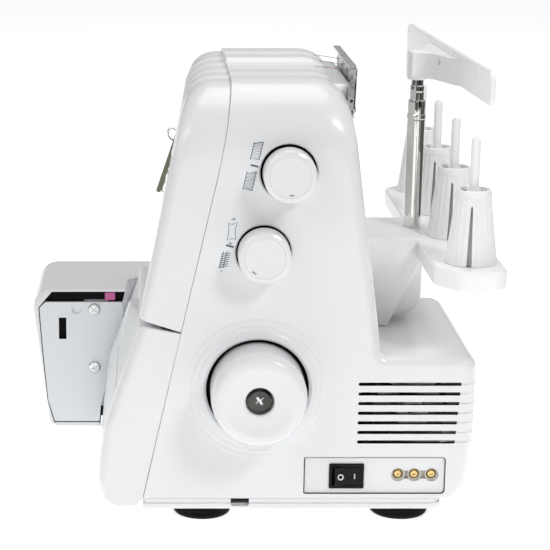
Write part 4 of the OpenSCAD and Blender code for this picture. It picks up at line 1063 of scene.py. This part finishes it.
def head_wires():
    """Slotted strip, wire loop and small hook at the left end of the head's front."""
    shape = [(-66, 169.5, 1.2), (-59, 169.5, 1.2), (-59, 209, 2), (-62, 217, 2), (-66, 214, 2)]
    strip = slab("guide_strip", shape, "y", -1.4, 1.4, M["guide_metal"], 0.2, 4)
    combine(strip, [cutter(rect(-63.2, 178, -61.6, 205, 0.5), "y", -3, 3, M["guide_metal"])])
    # stood just in front of the cover, along its slope
    moved(strip, (0, -59.8, 0), (-math.atan(0.335), 0, 0), (0, 0, 165))
    finish(strip, "machine", ["needle_thread_guide"])
    def front(z, off):
        return -52.6 + 0.17 * (z - 166) - off
    loop = [(-60, 210, -1), (-60, 211, 1.6), (-60.5, 213, 4.6), (-61, 211.5, 6.8), (-61.5, 207.5, 6.8),
            (-62, 204.5, 4.2), (-62.3, 204, 1.5), (-62.5, 205, -1)]
    hook = [(-62, 184, -1), (-62, 184, 1.6), (-62, 180, 4.6), (-62, 176, 2.2), (-62, 172, 4.8),
            (-62, 168.5, 3)]
    for name, radius, path in (("wire_loop", 0.75, loop), ("wire_hook", 0.7, hook)):
        points = [(x, front(z, off), z) for x, z, off in path]
        tube(name, points, radius, M["bright_steel"], "machine")


def small_parts():
    # pink threading marker in the gap over the bed's end plate, then the end plate's screws
    marker = slab("thread_marker", rect(-94, 99, -87, 104.4, 0.8), "x", -45.5, -42.2, M["pink"], 0.5, 4)
    finish(marker, "machine")
    for i, z in enumerate(PLATE_SCREW_Z):
        cross_screw(f"plate_fixing_{i + 1}", -42, PLATE_SCREW_Y, z, 4, 1.5, M["bright_steel"], "machine",
                ["bed_end_screws"] if i == 0 else (), 0.5 + 0.4 * i)


housing()
recess_cup("wheel_recess", WHEEL, WHEEL_HOLE, 7.2)
recess_cup("length_recess", LENGTH_DIAL, LENGTH_HOLE, 3.3)
recess_cup("feed_recess", FEED_DIAL, FEED_HOLE, 3.3)
wheel_collar()
front_cover()
left_cover()
looper_cover()
bed()
end_plate()
base()
feet()
handwheel()
dial("length_knob", LENGTH_DIAL, "length_dial", "stitch_length_dial", 184)
dial("feed_knob", FEED_DIAL, "feed_dial", "differential_feed_dial", 144)
pictograms()
side_panel()
thread_stand()
cones()
pole()
guide_bar()
guide_plate()
threads()
head_wires()
small_parts()

# ---------------------------------------------------------------- CAD nodes that stay: finish and eased edges

NODE_SLOT = {s["node"]: s["material_slot"] for s in frame["record"]["subparts"]}
for name, obj in frame["nodes"].items():
    obj.data.materials.clear()
    obj.data.materials.append(M[NODE_SLOT[name]])
    if obj.hide_render:
        continue
    obj.data.shade_smooth()
    obj.data.set_sharp_from_angle(angle=math.radians(30))
    if name not in ("drive_belt", "needles"):
        m = obj.modifiers.new("edge", "BEVEL")
        m.width = 0.15 * MM
        m.segments = 2
        m.limit_method = "ANGLE"
        m.angle_limit = math.radians(40)

# ---------------------------------------------------------------- floor, light, camera


def stage():
    mesh = bpy.data.meshes.new("floor")
    mesh.from_pydata([(1.4, -1.7, 0), (1.4, 1.0, 0), (0.3, 0.5, 0), (-0.9, 0.75, 0), (-5.0, 2.4, 0),
            (-5.0, -2.0, 0)], [], [(0, 1, 2, 3, 4, 5)])
    mat, tree, shader, co = principled("floor_paper")
    tree.links.new(mix_colour(tree, noise(tree, co, 3.0, 3.0), (0.90, 0.90, 0.90), (0.93, 0.93, 0.93)),
            shader.inputs["Base Color"])
    shader.inputs["Roughness"].default_value = 0.7
    shader.inputs["Specular IOR Level"].default_value = 0.2
    shader.inputs["Emission Color"].default_value = (1, 1, 1, 1)
    shader.inputs["Emission Strength"].default_value = 0.56
    mesh.materials.append(mat)
    floor = bpy.data.objects.new("floor", mesh)
    bpy.context.scene.collection.objects.link(floor)

    world = bpy.data.worlds.new("studio")
    bpy.context.scene.world = world
    world.use_nodes = True
    tree = world.node_tree
    coords = tree.nodes.new("ShaderNodeTexCoord")
    split = tree.nodes.new("ShaderNodeSeparateXYZ")
    tree.links.new(coords.outputs["Generated"], split.inputs["Vector"])
    angle = tree.nodes.new("ShaderNodeMath")
    angle.operation = "ARCTAN2"
    tree.links.new(split.outputs["Y"], angle.inputs[0])
    tree.links.new(split.outputs["X"], angle.inputs[1])
    ramp = tree.nodes.new("ShaderNodeValToRGB")
    to_unit = tree.nodes.new("ShaderNodeMapRange")
    to_unit.inputs["From Min"].default_value = -math.pi
    to_unit.inputs["From Max"].default_value = math.pi
    tree.links.new(angle.outputs[0], to_unit.inputs["Value"])
    tree.links.new(to_unit.outputs["Result"], ramp.inputs["Fac"])
    stops = ((0.0, 1.0), (0.40, 1.0), (0.42, 0.35), (0.45, 0.35), (0.47, 1.0), (0.53, 0.9), (0.56, 0.12),
            (0.64, 0.12), (0.67, 1.0))
    elements = ramp.color_ramp.elements
    elements[0].position, elements[1].position = stops[0][0], stops[-1][0]
    for pos, _ in stops[1:-1]:
        elements.new(pos)
    for element, (_, v) in zip(elements, stops):
        element.color = (v, v, v, 1)
    # the surroundings dim below the level of the table
    below = tree.nodes.new("ShaderNodeMapRange")
    below.inputs["From Min"].default_value = -0.03
    below.inputs["From Max"].default_value = 0.02
    below.inputs["To Min"].default_value = 0.25
    tree.links.new(split.outputs["Z"], below.inputs["Value"])
    dim = tree.nodes.new("ShaderNodeMix")
    dim.data_type = "RGBA"
    dim.inputs["A"].default_value = (0, 0, 0, 1)
    tree.links.new(below.outputs["Result"], dim.inputs["Factor"])
    tree.links.new(ramp.outputs["Color"], dim.inputs["B"])
    tree.links.new(dim.outputs["Result"], tree.nodes["Background"].inputs["Color"])
    tree.nodes["Background"].inputs["Strength"].default_value = 0.43

    def area(name, place, aim, size, power):
        light = bpy.data.lights.new(name, "AREA")
        light.shape = "DISK"
        light.size = size
        light.energy = power
        obj = bpy.data.objects.new(name, light)
        obj.location = place
        obj.rotation_euler = (Vector(aim) - Vector(place)).to_track_quat("-Z", "Y").to_euler()
        bpy.context.scene.collection.objects.link(obj)
    area("key", (1.05, 0.95, 1.35), (0.05, 0.0, 0.2), 0.42, 12.0)
    area("fill", (1.3, -1.4, 1.5), (0.05, 0.0, 0.2), 1.0, 7.5)
    area("top", (-0.4, 0.0, 2.0), (0.0, 0.0, 0.1), 1.6, 14.0)


def camera():
    data = bpy.data.cameras.new("camera")
    data.sensor_width = 36.0
    data.lens = 114.9
    data.shift_x = 0.229
    data.clip_start, data.clip_end = 0.05, 50.0
    cam = bpy.data.objects.new("camera", data)
    cam.location = (1.091, -0.0644, 0.4127)
    cam.rotation_euler = (math.radians(75.35), 0.0, math.radians(90.0))
    bpy.context.scene.collection.objects.link(cam)
    bpy.context.scene.camera = cam


stage()
camera()
bpy.context.scene.view_settings.view_transform = "Standard"
